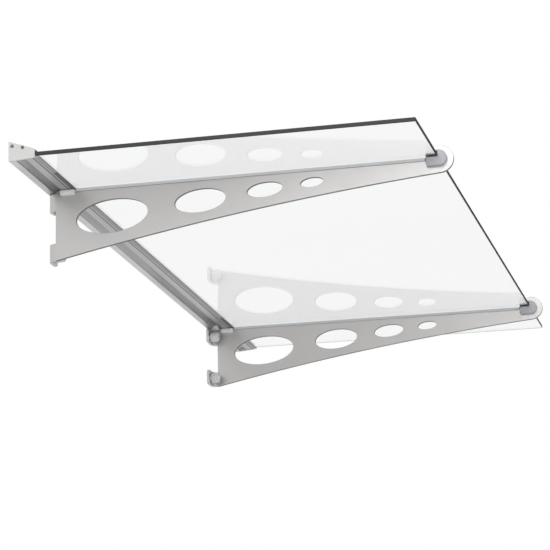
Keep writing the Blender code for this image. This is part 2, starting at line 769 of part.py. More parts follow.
def build():
    clear_scene()
    glass = make_material("clear_glass", (0.86, 0.93, 0.91), 0.02, 0.0, transmission=1.0)
    aluminium = make_material("anodised_aluminium", (0.72, 0.73, 0.74), 0.35, 1.0)
    rubber = make_material("grey_gasket", (0.10, 0.10, 0.11), 0.55, 0.0)
    steel = make_material("brushed_stainless", (0.62, 0.61, 0.59), 0.32, 1.0)
    strip_grey = make_material("strip_plastic", (0.62, 0.63, 0.64), 0.45, 0.0)
    clamp_grey = make_material("clamp_grey", (0.46, 0.47, 0.50), 0.35, 0.4)
    cover_grey = make_material("cover_grey", (0.56, 0.56, 0.60), 0.40, 0.1)
    zinc = make_material("zinc_steel", (0.66, 0.66, 0.66), 0.30, 1.0)
    cap_grey = make_material("cap_grey", (0.74, 0.74, 0.73), 0.45, 0.2)
    build_pane(glass)
    build_rail(aluminium)
    build_gaskets(rubber)
    build_end_caps(cap_grey, zinc)
    for side, sign in SIDES.items():
        build_bracket(side, sign, steel)
        build_bearing_strip(side, sign, strip_grey)
        build_seat_block(side, sign, clamp_grey)
        build_clamp(side, sign, clamp_grey, zinc, rubber)
        foot_x = sign * (BRACKET_OUTER_FACE - BOLT_FROM_FACE)
        rail_x = sign * (BRACKET_OUTER_FACE - RAIL_BOLT_FROM_FACE)
        materials = (zinc, zinc, cover_grey)
        build_fixing(side + "_upper", foot_x, UPPER_BOLT_HEIGHT, SHEET, materials)
        build_fixing(side + "_lower", foot_x, LOWER_BOLT_HEIGHT, SHEET, materials)
        build_fixing(side + "_rail", rail_x, RAIL_BOLT_HEIGHT, POCKET_FLOOR, materials)


build()
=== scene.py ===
"""Looks of the glass door canopy: its pane, wall rail, folded brackets, clamps and wall fixings.

Metres, +Z up. The wall is the plane Y = 0 and the canopy stands out towards -Y. A reach is a distance
from the wall, so Y = -reach. A run goes along the pane's underside and a rise stands up from it.
"""

from dataclasses import dataclass, field
from enum import Enum
import logging
from math import asin, atan2, cos, pi, radians, sin, sqrt
from typing import Callable, Optional, Sequence, Union

import bmesh
import bpy
import numpy as np
from mathutils import Matrix, Vector
from mathutils.geometry import tessellate_polygon


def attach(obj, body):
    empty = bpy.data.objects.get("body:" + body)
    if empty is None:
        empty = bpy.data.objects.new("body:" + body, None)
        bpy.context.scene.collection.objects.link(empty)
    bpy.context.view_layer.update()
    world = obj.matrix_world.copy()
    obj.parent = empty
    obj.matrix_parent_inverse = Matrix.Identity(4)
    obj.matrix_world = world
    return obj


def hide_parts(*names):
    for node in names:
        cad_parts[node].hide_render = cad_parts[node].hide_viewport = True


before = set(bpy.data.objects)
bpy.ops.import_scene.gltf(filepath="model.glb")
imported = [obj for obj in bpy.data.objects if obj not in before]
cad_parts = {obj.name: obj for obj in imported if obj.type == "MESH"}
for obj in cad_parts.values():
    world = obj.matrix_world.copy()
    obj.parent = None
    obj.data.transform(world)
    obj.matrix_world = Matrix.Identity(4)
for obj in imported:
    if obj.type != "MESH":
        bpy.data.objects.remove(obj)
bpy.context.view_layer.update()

log = logging.getLogger("canopy")
logging.basicConfig(level=logging.INFO, format="%(message)s")

Points = np.ndarray
Placing = Callable[[Points, Points, Points], Points]

GAP: float = 0.0003
"""Clearance between pieces that touch."""

NEAR: float = 0.0001
"""How close a face lies to a line that it is told apart by."""

CREASE: float = radians(38.0)
"""The angle between two faces past which their edge stays sharp."""


class Side(Enum):
    """Which half of the canopy a piece belongs to."""

    LEFT = "left"
    RIGHT = "right"

    @property
    def sign(self) -> float:
        """The sign of X on this side."""
        return -1.0 if self is Side.LEFT else 1.0


class Grain(Enum):
    """The axis along which a finish is drawn out, as a stretch of its pattern."""

    ALONG_X = (0.02, 1.0, 1.0)
    ALONG_Y = (1.0, 0.02, 1.0)
    EVEN = (1.0, 1.0, 1.0)


# Shader maths

class Socket:
    """An output socket of a material's nodes that can be used in sums, products and powers."""

    def __init__(self, nodes: "NodeBench", link: bpy.types.NodeSocket) -> None:
        """Keeps the bench that the socket belongs to and the socket itself."""
        self.nodes = nodes
        self.link = link

    def _math(self, operation: str, first: "Amount", second: "Amount") -> "Socket":
        """A Math node of two amounts.

        Args:
            operation: The Math node's operation.
            first: Its first input.
            second: Its second input.

        Returns:
            The node's output.
        """
        return self.nodes.make("ShaderNodeMath", {"operation": operation}, {0: first, 1: second})

    def __add__(self, other: "Amount") -> "Socket":
        """self + other."""
        return self._math("ADD", self, other)

    def __sub__(self, other: "Amount") -> "Socket":
        """self - other."""
        return self._math("SUBTRACT", self, other)

    def __rsub__(self, other: "Amount") -> "Socket":
        """other - self."""
        return self._math("SUBTRACT", other, self)

    def __mul__(self, other: "Amount") -> "Socket":
        """self * other."""
        return self._math("MULTIPLY", self, other)

    def __pow__(self, other: "Amount") -> "Socket":
        """self ** other."""
        return self._math("POWER", self, other)

    def clamped(self) -> "Socket":
        """The value held between 0 and 1."""
        return self.nodes.make("ShaderNodeClamp", {}, {"Value": self})


Amount = Union[float, int, Socket]


class NodeBench:
    """Makes the nodes of one material or world and links them."""

    def __init__(self, tree: bpy.types.NodeTree) -> None:
        """Empties the tree so that it can be built anew."""
        self.tree = tree
        tree.nodes.clear()

    def make(self, kind: str, settings: dict, inputs: dict, output: Union[int, str] = 0) -> Socket:
        """Adds any node.

        Args:
            kind: The node's type.
            settings: Its own settings, set first. A ramp's stops go under "stops".
            inputs: Values or sockets by input name or number.
            output: Which output is returned.

        Returns:
            The chosen output, wrapped.
        """
        node = self.tree.nodes.new(kind)
        for name, value in settings.items():
            if name == "stops":
                self._set_stops(node.color_ramp, value)
            else:
                setattr(node, name, value)
        for name, value in inputs.items():
            if isinstance(value, Socket):
                self.tree.links.new(value.link, node.inputs[name])
            else:
                node.inputs[name].default_value = value
        return Socket(self, node.outputs[output] if node.outputs else None)

    @staticmethod
    def _set_stops(ramp: bpy.types.ColorRamp, stops: Sequence[tuple]) -> None:
        """Gives a colour ramp its stops.

        Args:
            ramp: The ramp.
            stops: Pairs of position and colour.
        """
        while len(ramp.elements) < len(stops):
            ramp.elements.new(0.5)
        for element, (position, colour) in zip(ramp.elements, stops):
            element.position = position
            element.color = (*colour, 1.0)

    def place(self, stretch: tuple[float, float, float] = (1.0, 1.0, 1.0)) -> Socket:
        """The piece's own coordinates, stretched.

        Args:
            stretch: Factors on X, Y and Z.

        Returns:
            The vector socket.
        """
        spot = self.make("ShaderNodeTexCoord", {}, {}, "Object")
        return self.make("ShaderNodeMapping", {}, {"Vector": spot, "Scale": stretch})

    def noise(self, spot: Socket, scale: float, detail: float = 3.0, rough: float = 0.55) -> Socket:
        """Noise between 0 and 1.

        Args:
            spot: Where it is read.
            scale: Its scale per metre.
            detail: Octaves.
            rough: How strong the fine octaves are.

        Returns:
            The noise value.
        """
        inputs = {"Vector": spot, "Scale": scale, "Detail": detail, "Roughness": rough}
        return self.make("ShaderNodeTexNoise", {}, inputs, "Fac")

    def blend(self, mask: Amount, first: tuple, second: tuple) -> Socket:
        """A colour between two colours.

        Args:
            mask: 0 for the first and 1 for the second.
            first: A linear RGB colour.
            second: A linear RGB colour.

        Returns:
            The colour socket.
        """
        settings = {"data_type": "RGBA", "clamp_factor": True}
        return self.make("ShaderNodeMix", settings, {0: mask, 6: (*first, 1.0), 7: (*second, 1.0)}, 2)

    def bump(self, height: Socket, strength: float, distance: float) -> Socket:
        """The normal of a surface raised by height.

        Args:
            height: The height pattern.
            strength: How much of it shows.
            distance: What a height of 1 means, in metres.

        Returns:
            The normal socket.
        """
        inputs = {"Height": height, "Strength": strength, "Distance": distance}
        return self.make("ShaderNodeBump", {}, inputs)

    def seen_rays(self) -> Socket:
        """1 for rays that show the background: straight, mirrored or through glass, else 0.

        Returns:
            The share.
        """
        names = ("Is Camera Ray", "Is Glossy Ray", "Is Transmission Ray")
        straight, mirrored, through = (self.make("ShaderNodeLightPath", {}, {}, name) for name in names)
        return (straight + mirrored + through).clamped()

    def end(self, shader: Socket, kind: str = "ShaderNodeOutputMaterial") -> None:
        """Links a shader to the tree's output."""
        self.make(kind, {}, {"Surface": shader})


def new_material(name: str) -> tuple[bpy.types.Material, NodeBench]:
    """Starts a material.

    Args:
        name: Its name.

    Returns:
        The material and the empty bench of its nodes.
    """
    made = bpy.data.materials.new(name)
    made.use_nodes = True
    return made, NodeBench(made.node_tree)


# Finishes

@dataclass(frozen=True)
class MetalFinish:
    """Drawn, brushed or blasted metal whose grain shows in colour, gloss and relief."""

    name: str
    dark: tuple[float, float, float]
    light: tuple[float, float, float]
    roughness: float
    roughness_spread: float
    metallic: float
    grain: Grain
    grain_scale: float
    relief: float

    def material(self) -> bpy.types.Material:
        """Builds the material: long noise for the grain, broad noise for cloudiness.

        Returns:
            The material.
        """
        made, bench = new_material(self.name)
        streaks = bench.noise(bench.place(self.grain.value), self.grain_scale, 4.0, 0.7)
        clouds = bench.noise(bench.place(), 9.0, 2.0)
        tone = (streaks * 0.7 + clouds * 0.3 - 0.5) * 1.6 + 0.5
        rough = (streaks - 0.5) * self.roughness_spread + self.roughness
        shader = bench.make("ShaderNodeBsdfPrincipled", {}, {
            "Base Color": bench.blend(tone.clamped(), self.dark, self.light),
            "Roughness": rough,
            "Metallic": self.metallic,
            "Normal": bench.bump(streaks, 0.4, self.relief),
        })
        bench.end(shader)
        return made


@dataclass(frozen=True)
class MouldedFinish:
    """Moulded plastic, rubber or paint with a fine even skin."""

    name: str
    dark: tuple[float, float, float]
    light: tuple[float, float, float]
    roughness: float
    skin_scale: float
    relief: float
    metallic: float = 0.0
    specular: float = 0.5

    def material(self) -> bpy.types.Material:
        """Builds the material: fine noise for the skin and broad noise for a slow drift of tone.

        Returns:
            The material.
        """
        made, bench = new_material(self.name)
        skin = bench.noise(bench.place(), self.skin_scale, 3.0)
        drift = bench.noise(bench.place(), 14.0, 2.0)
        shader = bench.make("ShaderNodeBsdfPrincipled", {}, {
            "Base Color": bench.blend((drift * 0.6 + skin * 0.4).clamped(), self.dark, self.light),
            "Roughness": (skin - 0.5) * 0.15 + self.roughness,
            "Metallic": self.metallic,
            "Specular IOR Level": self.specular,
            "Normal": bench.bump(skin, 0.35, self.relief),
        })
        bench.end(shader)
        return made


@dataclass(frozen=True)
class GasketFinish:
    """Grey rubber with a painted reflection of each bracket: a dark band that stretches a little way to
    each side of it.
    """

    name: str = "gasket_grey_rubber_with_painted_reflection"
    grey: tuple[float, float, float] = (0.37, 0.37, 0.375)
    # The dark tone, its middle and its reach draw the painted reflection of the brackets.
    reflection_tone: tuple[float, float, float] = (0.075, 0.075, 0.08)
    reflection_middle: float = 0.550
    reflection_reach: float = 0.107

    def material(self) -> bpy.types.Material:
        """Builds the material: dark, as a painted reflection of the bracket, where the distance of |X|
        from a bracket is under the reach.

        Returns:
            The material.
        """
        made, bench = new_material(self.name)
        x = bench.make("ShaderNodeSeparateXYZ", {}, {"Vector": bench.place()})
        off = (x * x) ** 0.5 - self.reflection_middle
        skin = bench.noise(bench.place(), 400.0, 3.0)
        near = (self.reflection_reach - (off * off) ** 0.5) * 300.0 + 0.5
        mask = near.clamped() * ((skin - 0.5) * 0.8 + 0.8).clamped()
        bench.end(bench.make("ShaderNodeBsdfPrincipled", {}, {
            "Base Color": bench.blend(mask, self.grey, self.reflection_tone),
            "Roughness": (skin - 0.5) * 0.15 + 0.55,
            "Specular IOR Level": 0.3,
            "Normal": bench.bump(skin, 0.35, 0.00006),
        }))
        return made


@dataclass(frozen=True)
class PaneFinish:
    """Clear float glass that bends and mirrors light as real glass does."""

    name: str = "pane_glass_clear"
    dark: tuple[float, float, float] = (0.945, 0.945, 0.950)
    light: tuple[float, float, float] = (0.965, 0.965, 0.970)
    mirror: float = 0.66
    index: float = 1.5

    def shader(self, bench: NodeBench) -> Socket:
        """A broad drift of the tint in fully clear glass.

        Args:
            bench: The bench of nodes.

        Returns:
            The shader.
        """
        drift = bench.noise(bench.place(), 2.0, 1.0)
        return bench.make("ShaderNodeBsdfPrincipled", {}, {
            "Base Color": bench.blend(drift, self.dark, self.light),
            "Roughness": 0.0,
            "IOR": self.index,
            "Specular Tint": (self.mirror, self.mirror, self.mirror, 1.0),
            "Transmission Weight": 1.0,
        })

    def material(self) -> bpy.types.Material:
        """Builds the material.

        Returns:
            The material.
        """
        made, bench = new_material(self.name)
        bench.end(self.shader(bench))
        return made


@dataclass(frozen=True)
class EdgeFinish:
    """The pane's polished edge: a dark grey-green from outside, and clear from within the glass."""

    pane: PaneFinish
    name: str = "pane_glass_edge"
    dark: tuple[float, float, float] = (0.050, 0.056, 0.054)
    light: tuple[float, float, float] = (0.078, 0.086, 0.083)

    def material(self) -> bpy.types.Material:
        """Builds the material: long soft bands, and clear glass where light is wholly mirrored.

        Returns:
            The material.
        """
        made, bench = new_material(self.name)
        bands = bench.noise(bench.place((1.0, 1.0, 20.0)), 6.0, 2.0)
        dark = bench.make("ShaderNodeBsdfPrincipled", {}, {
            "Base Color": bench.blend(bands, self.dark, self.light),
            "Roughness": bands * 0.06 + 0.50,
            "Specular IOR Level": 0.0,
        })
        mirrored = bench.make("ShaderNodeFresnel", {}, {"IOR": self.pane.index})
        share = ((mirrored - 0.8) * 6.0).clamped()
        bench.end(bench.make("ShaderNodeMixShader", {}, {0: share, 1: dark, 2: self.pane.shader(bench)}))
        return made


class Finishes:
    """Every finish of the canopy, made once."""

    def __init__(self) -> None:
        """Builds the materials."""
        pane = PaneFinish()
        self.glass = pane.material()
        self.glass_edge = EdgeFinish(pane).material()
        self.rail = MetalFinish(
            "rail_satin_aluminium", (0.42, 0.42, 0.425), (0.51, 0.51, 0.515), 0.36, 0.10, 0.75,
            Grain.ALONG_X, 900.0, 0.00004).material()
        # A lighter copy of the rail's aluminium, painted light on the foot's underside.
        self.foot = MetalFinish(
            "rail_foot_painted_light_aluminium", (0.60, 0.60, 0.605), (0.70, 0.70, 0.705), 0.36, 0.10, 0.75,
            Grain.ALONG_X, 900.0, 0.00004).material()
        # A darker copy of the rail's aluminium, painted shade for the cove's hollow; its higher roughness
        # is the cove's mill finish.
        self.cove = MetalFinish(
            "rail_cove_mill_finish_painted_shade", (0.36, 0.36, 0.365), (0.45, 0.45, 0.455), 0.42, 0.12, 0.7,
            Grain.ALONG_X, 900.0, 0.00004).material()
        self.steel = MetalFinish(
            "bracket_brushed_stainless", (0.500, 0.492, 0.483), (0.595, 0.588, 0.578), 0.40, 0.12, 0.85,
            Grain.ALONG_Y, 1500.0, 0.00003).material()
        # The dark finish of the bracket's cut edges; the cap screws' heads take it too, as painted shade
        # of their recesses.
        self.cut_edge_and_screw_shade = MetalFinish(
            "bracket_cut_edge", (0.13, 0.13, 0.125), (0.20, 0.20, 0.195), 0.5, 0.12, 0.5,
            Grain.EVEN, 900.0, 0.00003).material()
        self.zinc = MetalFinish(
            "zinc_plated_steel", (0.52, 0.52, 0.53), (0.64, 0.64, 0.65), 0.34, 0.10, 0.9,
            Grain.EVEN, 700.0, 0.00003).material()
        self.clamp = MouldedFinish(
            "clamp_blue_grey_enamel", (0.355, 0.361, 0.382), (0.405, 0.411, 0.432), 0.42, 900.0,
            0.00003, metallic=0.25).material()
        self.seat = MouldedFinish(
            "seat_pale_grey_plastic", (0.68, 0.685, 0.70), (0.74, 0.745, 0.76), 0.40, 900.0,
            0.00003).material()
        self.cover = MouldedFinish(
            "cover_lilac_grey_plastic", (0.60, 0.59, 0.625), (0.67, 0.66, 0.695), 0.42, 900.0,
            0.00003).material()
        self.cap = MouldedFinish(
            "end_cap_pale_grey_plastic", (0.605, 0.605, 0.60), (0.665, 0.665, 0.66), 0.45, 900.0,
            0.00003).material()
        self.recess = MouldedFinish(
            "end_cap_recess_shaded", (0.05, 0.05, 0.05), (0.08, 0.08, 0.08), 0.7, 900.0,
            0.00003, specular=0.2).material()
        self.strip = MouldedFinish(
            "bearing_strip_pale_plastic", (0.53, 0.535, 0.545), (0.60, 0.605, 0.615), 0.5, 700.0,
            0.00003).material()
        self.lower_gasket = GasketFinish().material()
        # Dark rubber of the upper gasket; the rail's drip groove also takes it as painted shade.
        self.gasket = MouldedFinish(
            "gasket_dark_rubber_and_painted_drip_shade", (0.085, 0.085, 0.09), (0.13, 0.13, 0.135), 0.6, 500.0,
            0.00006, specular=0.3).material()
        # Dark rubber of the clamp liners; the bearing trim's underside also takes it as painted shade.
        self.liner = MouldedFinish(
            "clamp_liner_dark_rubber_and_strip_painted_shade", (0.08, 0.08, 0.082), (0.12, 0.12, 0.122), 0.7, 500.0,
            0.00006, specular=0.3).material()


# Shapes

def arc(centre: tuple[float, float], size: tuple[float, float], start: float, end: float,
        steps: int) -> Points:
    """Points on an upright ellipse: centre plus size times (cos, sin) of an angle.

    Args:
        centre: The ellipse's centre.
        size: Its half length and half height.
        start: The first angle.
        end: The last angle.
        steps: How many stretches between them.

    Returns:
        An array of points, first and last included.
    """
    angle = np.linspace(start, end, steps + 1)
    return np.stack([centre[0] + size[0] * np.cos(angle), centre[1] + size[1] * np.sin(angle)], axis=1)


def ring(centre: tuple[float, float], size: tuple[float, float], count: int, tilt: float = 0.0) -> Points:
    """A closed ellipse: (cos, sin) of evenly spread angles, scaled, turned by tilt and moved.

    Args:
        centre: The ellipse's centre.
        size: Its half length and half height.
        count: How many points.
        tilt: How far its long axis is turned.

    Returns:
        An array of points.
    """
    around = arc((0.0, 0.0), size, 0.0, 2.0 * pi * (count - 1) / count, count - 1)
    turn = np.array([[cos(tilt), sin(tilt)], [-sin(tilt), cos(tilt)]])
    return around @ turn + np.array(centre)


def rounded(corners: Sequence[tuple[float, float]], radii: Sequence[float], steps: int = 4) -> Points:
    """A polygon with each corner replaced by a circle's arc that touches both sides.

    Args:
        corners: The polygon's corners in order.
        radii: Each corner's radius, 0 for a sharp one.
        steps: Stretches of each arc.

    Returns:
        An array of points.
    """
    spots = [np.array(corner) for corner in corners]
    pieces = []
    for index, radius in enumerate(radii):
        corner = spots[index]
        back = spots[index - 1] - corner
        ahead = spots[(index + 1) % len(spots)] - corner
        back = back / np.linalg.norm(back)
        ahead = ahead / np.linalg.norm(ahead)
        if radius == 0.0:
            pieces.append(corner[None])
            continue
        half = 0.5 * np.arccos(np.clip(back @ ahead, -1.0, 1.0))
        middle = (back + ahead) / np.linalg.norm(back + ahead)
        centre = corner + middle * radius / sin(half)
        first = corner + back * radius * cos(half) / sin(half) - centre
        last = corner + ahead * radius * cos(half) / sin(half) - centre
        start = atan2(first[1], first[0])
        sweep = (atan2(last[1], last[0]) - start + pi) % (2.0 * pi) - pi
        pieces.append(arc(tuple(centre), (radius, radius), start, start + sweep, steps))
    return np.concatenate(pieces)


def shoelace(loop: Points) -> float:
    """Twice a loop's signed area: the sum of cross products of neighbouring points."""
    after = np.roll(loop, -1, axis=0)
    return float(np.sum(loop[:, 0] * after[:, 1] - loop[:, 1] * after[:, 0]))


def miters(loop: Points) -> Points:
    """For each point, the way inwards that moves both its edges by one unit.

    The way is the sum of the two edges' left normals over 1 plus their dot product.

    Args:
        loop: A closed loop with the material on its left.

    Returns:
        An array of vectors.
    """
    ahead = np.roll(loop, -1, axis=0) - loop
    ahead = ahead / np.linalg.norm(ahead, axis=1, keepdims=True)
    left = np.stack([-ahead[:, 1], ahead[:, 0]], axis=1)
    before = np.roll(left, 1, axis=0)
    spread = 1.0 + np.sum(left * before, axis=1, keepdims=True)
    return (left + before) / np.maximum(spread, 0.35)


@dataclass
class Slab:
    """A flat outline with holes, given thickness, whose rims are rounded by an arris.

    The rim is a grid: the outline's points by the points of a section that goes in over the low
    arris, up the side and back in over the high arris.
    """

    loops: list[Points]
    low: float
    high: float
    arris_low: float
    arris_high: float
    arris_steps: int = 3
    softness: Optional[Points] = None
    """For each point of the outline, the share of the arris that its rim takes, 1 where not given."""

    def section(self) -> tuple[Points, Points]:
        """The rim's section: how far in and how high each of its points is.

        Returns:
            The insets and the depths, from the low face to the high face.
        """
        way = 1.0 if self.high > self.low else -1.0
        insets, depths = [], []
        for face, arris, inward in ((self.low, self.arris_low, way), (self.high, self.arris_high, -way)):
            steps = self.arris_steps if arris > 0.0 else 0
            angle = np.linspace(0.0, pi / 2.0, steps + 1)
            order = 1 if face == self.low else -1
            insets.append((arris * (1.0 - np.sin(angle)))[::order])
            depths.append((face + inward * arris * (1.0 - np.cos(angle)))[::order])
        return np.concatenate(insets), np.concatenate(depths)

    def build(self, name: str, place: Placing, cuts: Sequence[float] = ()) -> bpy.types.Mesh:
        """Makes the mesh: rims as grids, and both faces filled between the innermost rings.

        Args:
            name: The mesh's name.
            place: Turns arrays of (first, second, depth) into an array of points.
            cuts: Values of the first coordinate at which the faces are scored.

        Returns:
            A closed mesh, flat faces flat and rims smooth. Faces of the rim have material number 1.
        """
        insets, depths = self.section()
        verts, rims, low_rings, high_rings = [], [], [], []
        start = 0
        for number, loop in enumerate(self.loops):
            share = np.ones(len(loop))
            if number == 0 and self.softness is not None:
                share = self.softness
            turn = 1.0 if number == 0 else -1.0
            if shoelace(loop) * turn < 0.0:
                loop, share = loop[::-1], share[::-1]
            inward = miters(loop) * share[:, None]
            count, rows = len(loop), len(insets)
            flat = loop[None] + inward[None] * insets[:, None, None]
            depth = np.repeat(depths[:, None, None], count, axis=1)
            verts.append(np.concatenate([flat, depth], axis=2).reshape(-1, 3))
            here = start + np.arange(rows * count).reshape(rows, count)
            after = np.roll(here, -1, axis=1)
            quads = np.stack([here[:-1], after[:-1], after[1:], here[1:]], axis=-1)
            rims.append(quads.reshape(-1, 4))
            low_rings.append((flat[0], here[0]))
            high_rings.append((flat[-1], here[-1]))
            start += rows * count
        faces_low = self._fill(low_rings, False)
        faces_high = self._fill(high_rings, True)
        rim_faces = [tuple(quad) for quad in np.concatenate(rims).tolist()]
        mesh = bpy.data.meshes.new(name)
        mesh.from_pydata(np.concatenate(verts).tolist(), [], rim_faces + faces_low + faces_high)
        is_rim = np.zeros(len(mesh.polygons), dtype=bool)
        is_rim[:len(rim_faces)] = True
        mesh.polygons.foreach_set("use_smooth", is_rim)
        mesh.polygons.foreach_set("material_index", is_rim.astype(np.int32))
        if cuts:
            self._score(mesh, cuts)
        move(mesh, place)
        face_out(mesh)
        return mesh

    @staticmethod
    def _fill(rings: list[tuple[Points, Points]], upward: bool) -> list[tuple[int, ...]]:
        """Fills one face between its rings.

        Args:
            rings: Each ring's flat points and their numbers in the mesh.
            upward: Whether the face is the high one.

        Returns:
            Triangles as tuples of vertex numbers.
        """
        numbers = np.concatenate([ids for _, ids in rings])
        flat = [[Vector((*spot, 0.0)) for spot in spots.tolist()] for spots, _ in rings]
        triangles = numbers[np.array(tessellate_polygon(flat))]
        return [tuple(triangle) for triangle in (triangles if upward else triangles[:, ::-1]).tolist()]

    @staticmethod
    def _score(mesh: bpy.types.Mesh, cuts: Sequence[float]) -> None:
        """Scores the flat mesh along lines of equal first coordinate, so that it can be folded.

        Args:
            mesh: The flat mesh.
            cuts: The lines.
        """
        shape = bmesh.new()
        shape.from_mesh(mesh)
        for cut in cuts:
            every = shape.verts[:] + shape.edges[:] + shape.faces[:]
            bmesh.ops.bisect_plane(
                shape, geom=every, dist=1e-6, plane_co=(cut, 0.0, 0.0), plane_no=(1.0, 0.0, 0.0))
        shape.to_mesh(mesh)
        shape.free()


def move(mesh: bpy.types.Mesh, place: Placing) -> None:
    """Sends every vertex (first, second, depth) of a mesh through a placing.

    Args:
        mesh: The mesh.
        place: The placing.
    """
    spots = np.empty(len(mesh.vertices) * 3)
    mesh.vertices.foreach_get("co", spots)
    spots = spots.reshape(-1, 3)
    mesh.vertices.foreach_set("co", place(spots[:, 0], spots[:, 1], spots[:, 2]).reshape(-1))
    mesh.update()


def face_out(mesh: bpy.types.Mesh) -> None:
    """Turns a closed mesh's faces outwards and keeps its flat faces flat and its creases sharp.

    Args:
        mesh: The mesh.
    """
    shape = bmesh.new()
    shape.from_mesh(mesh)
    bmesh.ops.recalc_face_normals(shape, faces=shape.faces)
    if shape.calc_volume(signed=True) < 0.0:
        bmesh.ops.reverse_faces(shape, faces=shape.faces)
    shape.to_mesh(mesh)
    shape.free()
    smooth = np.empty(len(mesh.polygons), dtype=bool)
    mesh.polygons.foreach_get("use_smooth", smooth)
    mesh.set_sharp_from_angle(angle=CREASE)
    mesh.polygons.foreach_set("use_smooth", smooth)


def face_values(mesh: bpy.types.Mesh, name: str) -> Points:
    """Reads the middle or the normal of every face.

    Args:
        mesh: The mesh.
        name: "center" or "normal".

    Returns:
        An array with a row of three for each face.
    """
    values = np.empty(len(mesh.polygons) * 3)
    mesh.polygons.foreach_get(name, values)
    return values.reshape(-1, 3)


def paint(mesh: bpy.types.Mesh, numbers: Points) -> None:
    """Gives each face the material of a number.

    Args:
        mesh: The mesh.
        numbers: For each face, its material's number. True counts as 1.
    """
    mesh.polygons.foreach_set("material_index", numbers.astype(np.int32))


def along_x(reach: Points, height: Points, x: Points) -> Points:
    """Places a (reach, height) section that runs along X."""
    return np.stack([x, -reach, height], axis=1)


def along_reach(across: Points, height: Points, reach: Points) -> Points:
    """Places an (x, height) section that runs out from the wall."""
    return np.stack([across, -reach, height], axis=1)


@dataclass
class Turning:
    """A turned piece: a profile of (radius, reach) points carried round its own axis, which is -Y.

    A point is (radius cos a, -reach, radius sin a). A profile that starts and ends on the axis
    makes a closed piece, and a looped one makes a ring.
    """

    profile: Points
    segments: int
    looped: bool = False

    def build(self, name: str, middle: tuple[float, float, float]) -> bpy.types.Mesh:
        """Makes the mesh as a grid of profile points by angles.

        Args:
            name: The mesh's name.
            middle: Where the axis meets reach 0.

        Returns:
            A closed smooth mesh.
        """
        angle = np.linspace(0.0, 2.0 * pi, self.segments, endpoint=False)
        radius = self.profile[:, :1] * np.ones((1, self.segments))
        reach = self.profile[:, 1:] * np.ones((1, self.segments))
        grid = np.stack([
            middle[0] + radius * np.cos(angle), middle[1] - reach, middle[2] + radius * np.sin(angle),
        ], axis=-1)
        rows = len(self.profile)
        here = np.arange(rows * self.segments).reshape(rows, self.segments)
        if self.looped:
            here = np.concatenate([here, here[:1]])
        after = np.roll(here, -1, axis=1)
        quads = np.stack([here[:-1], here[1:], after[1:], after[:-1]], axis=-1).reshape(-1, 4)
        mesh = bpy.data.meshes.new(name)
        mesh.from_pydata(grid.reshape(-1, 3).tolist(), [], quads.tolist())
        shape = bmesh.new()
        shape.from_mesh(mesh)
        bmesh.ops.remove_doubles(shape, verts=shape.verts, dist=1e-7)
        bmesh.ops.dissolve_degenerate(shape, edges=shape.edges, dist=1e-8)
        shape.to_mesh(mesh)
        shape.free()
        mesh.polygons.foreach_set("use_smooth", np.ones(len(mesh.polygons), dtype=bool))
        face_out(mesh)
        return mesh


def show(name: str, mesh: bpy.types.Mesh, materials: Sequence[bpy.types.Material],
         nodes: Sequence[str]) -> bpy.types.Object:
    """Puts a piece into the scene in place of its CAD nodes.

    Args:
        name: The piece's name.
        mesh: Its mesh, already in place.
        materials: One material, or several that the faces hold the numbers of.
        nodes: The CAD nodes it stands for.

    Returns:
        The object.
    """
    piece = bpy.data.objects.new(name, mesh)
    bpy.context.scene.collection.objects.link(piece)
    for material in materials:
        mesh.materials.append(material)
    if len(materials) == 1:
        mesh.polygons.foreach_set("material_index", np.zeros(len(mesh.polygons), dtype=np.int32))
    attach(piece, "root")
    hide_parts(*nodes)
    log.info("%s: %d faces", name, len(mesh.polygons))
    return piece


def dress(node: str, material: bpy.types.Material) -> None:
    """Gives a CAD node that stays in view a finish.

    Args:
        node: The node's name.
        material: The finish.
    """
    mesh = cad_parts[node].data
    mesh.materials.clear()
    mesh.materials.append(material)
    log.info("%s: dressed", node)


# The pane and what it shares with its neighbours

@dataclass(frozen=True)
class PanePlan:
    """The pane's place and size, which every other piece is set out from."""

    width: float = 1.500
    thickness: float = 0.008
    front: float = 0.750
    back: float = 0.0345
    fall: float = radians(1.306)
    underside_at_wall: float = -0.012
    arris: float = 0.0006

    def at(self, run: float, rise: float) -> tuple[float, float]:
        """The (reach, height) of a run and a rise.

        Args:
            run: How far along the underside.
            rise: How far above the underside.

        Returns:
            The reach and the height.
        """
        return (
            run * cos(self.fall) + rise * sin(self.fall),
            self.underside_at_wall - run * sin(self.fall) + rise * cos(self.fall),
        )

    def height(self, reach: float, rise: float) -> float:
        """The height at a reach of the line that lies rise above the underside."""
        return self.at((reach - rise * sin(self.fall)) / cos(self.fall), rise)[1]

    def place(self, middle_x: float) -> Placing:
        """A placing of (x, rise, run) sections that run along the pane.

        Args:
            middle_x: Where the section's x is 0.

        Returns:
            The placing.
        """
        def put(across: Points, rise: Points, run: Points) -> Points:
            """Turns x, rise and run into points.

            Args:
                across: X from the middle.
                rise: How far above the underside.
                run: How far along the underside.

            Returns:
                The points.
            """
            reach = run * cos(self.fall) + rise * sin(self.fall)
            height = self.underside_at_wall - run * sin(self.fall) + rise * cos(self.fall)
            return np.stack([middle_x + across, -reach, height], axis=1)

        return put


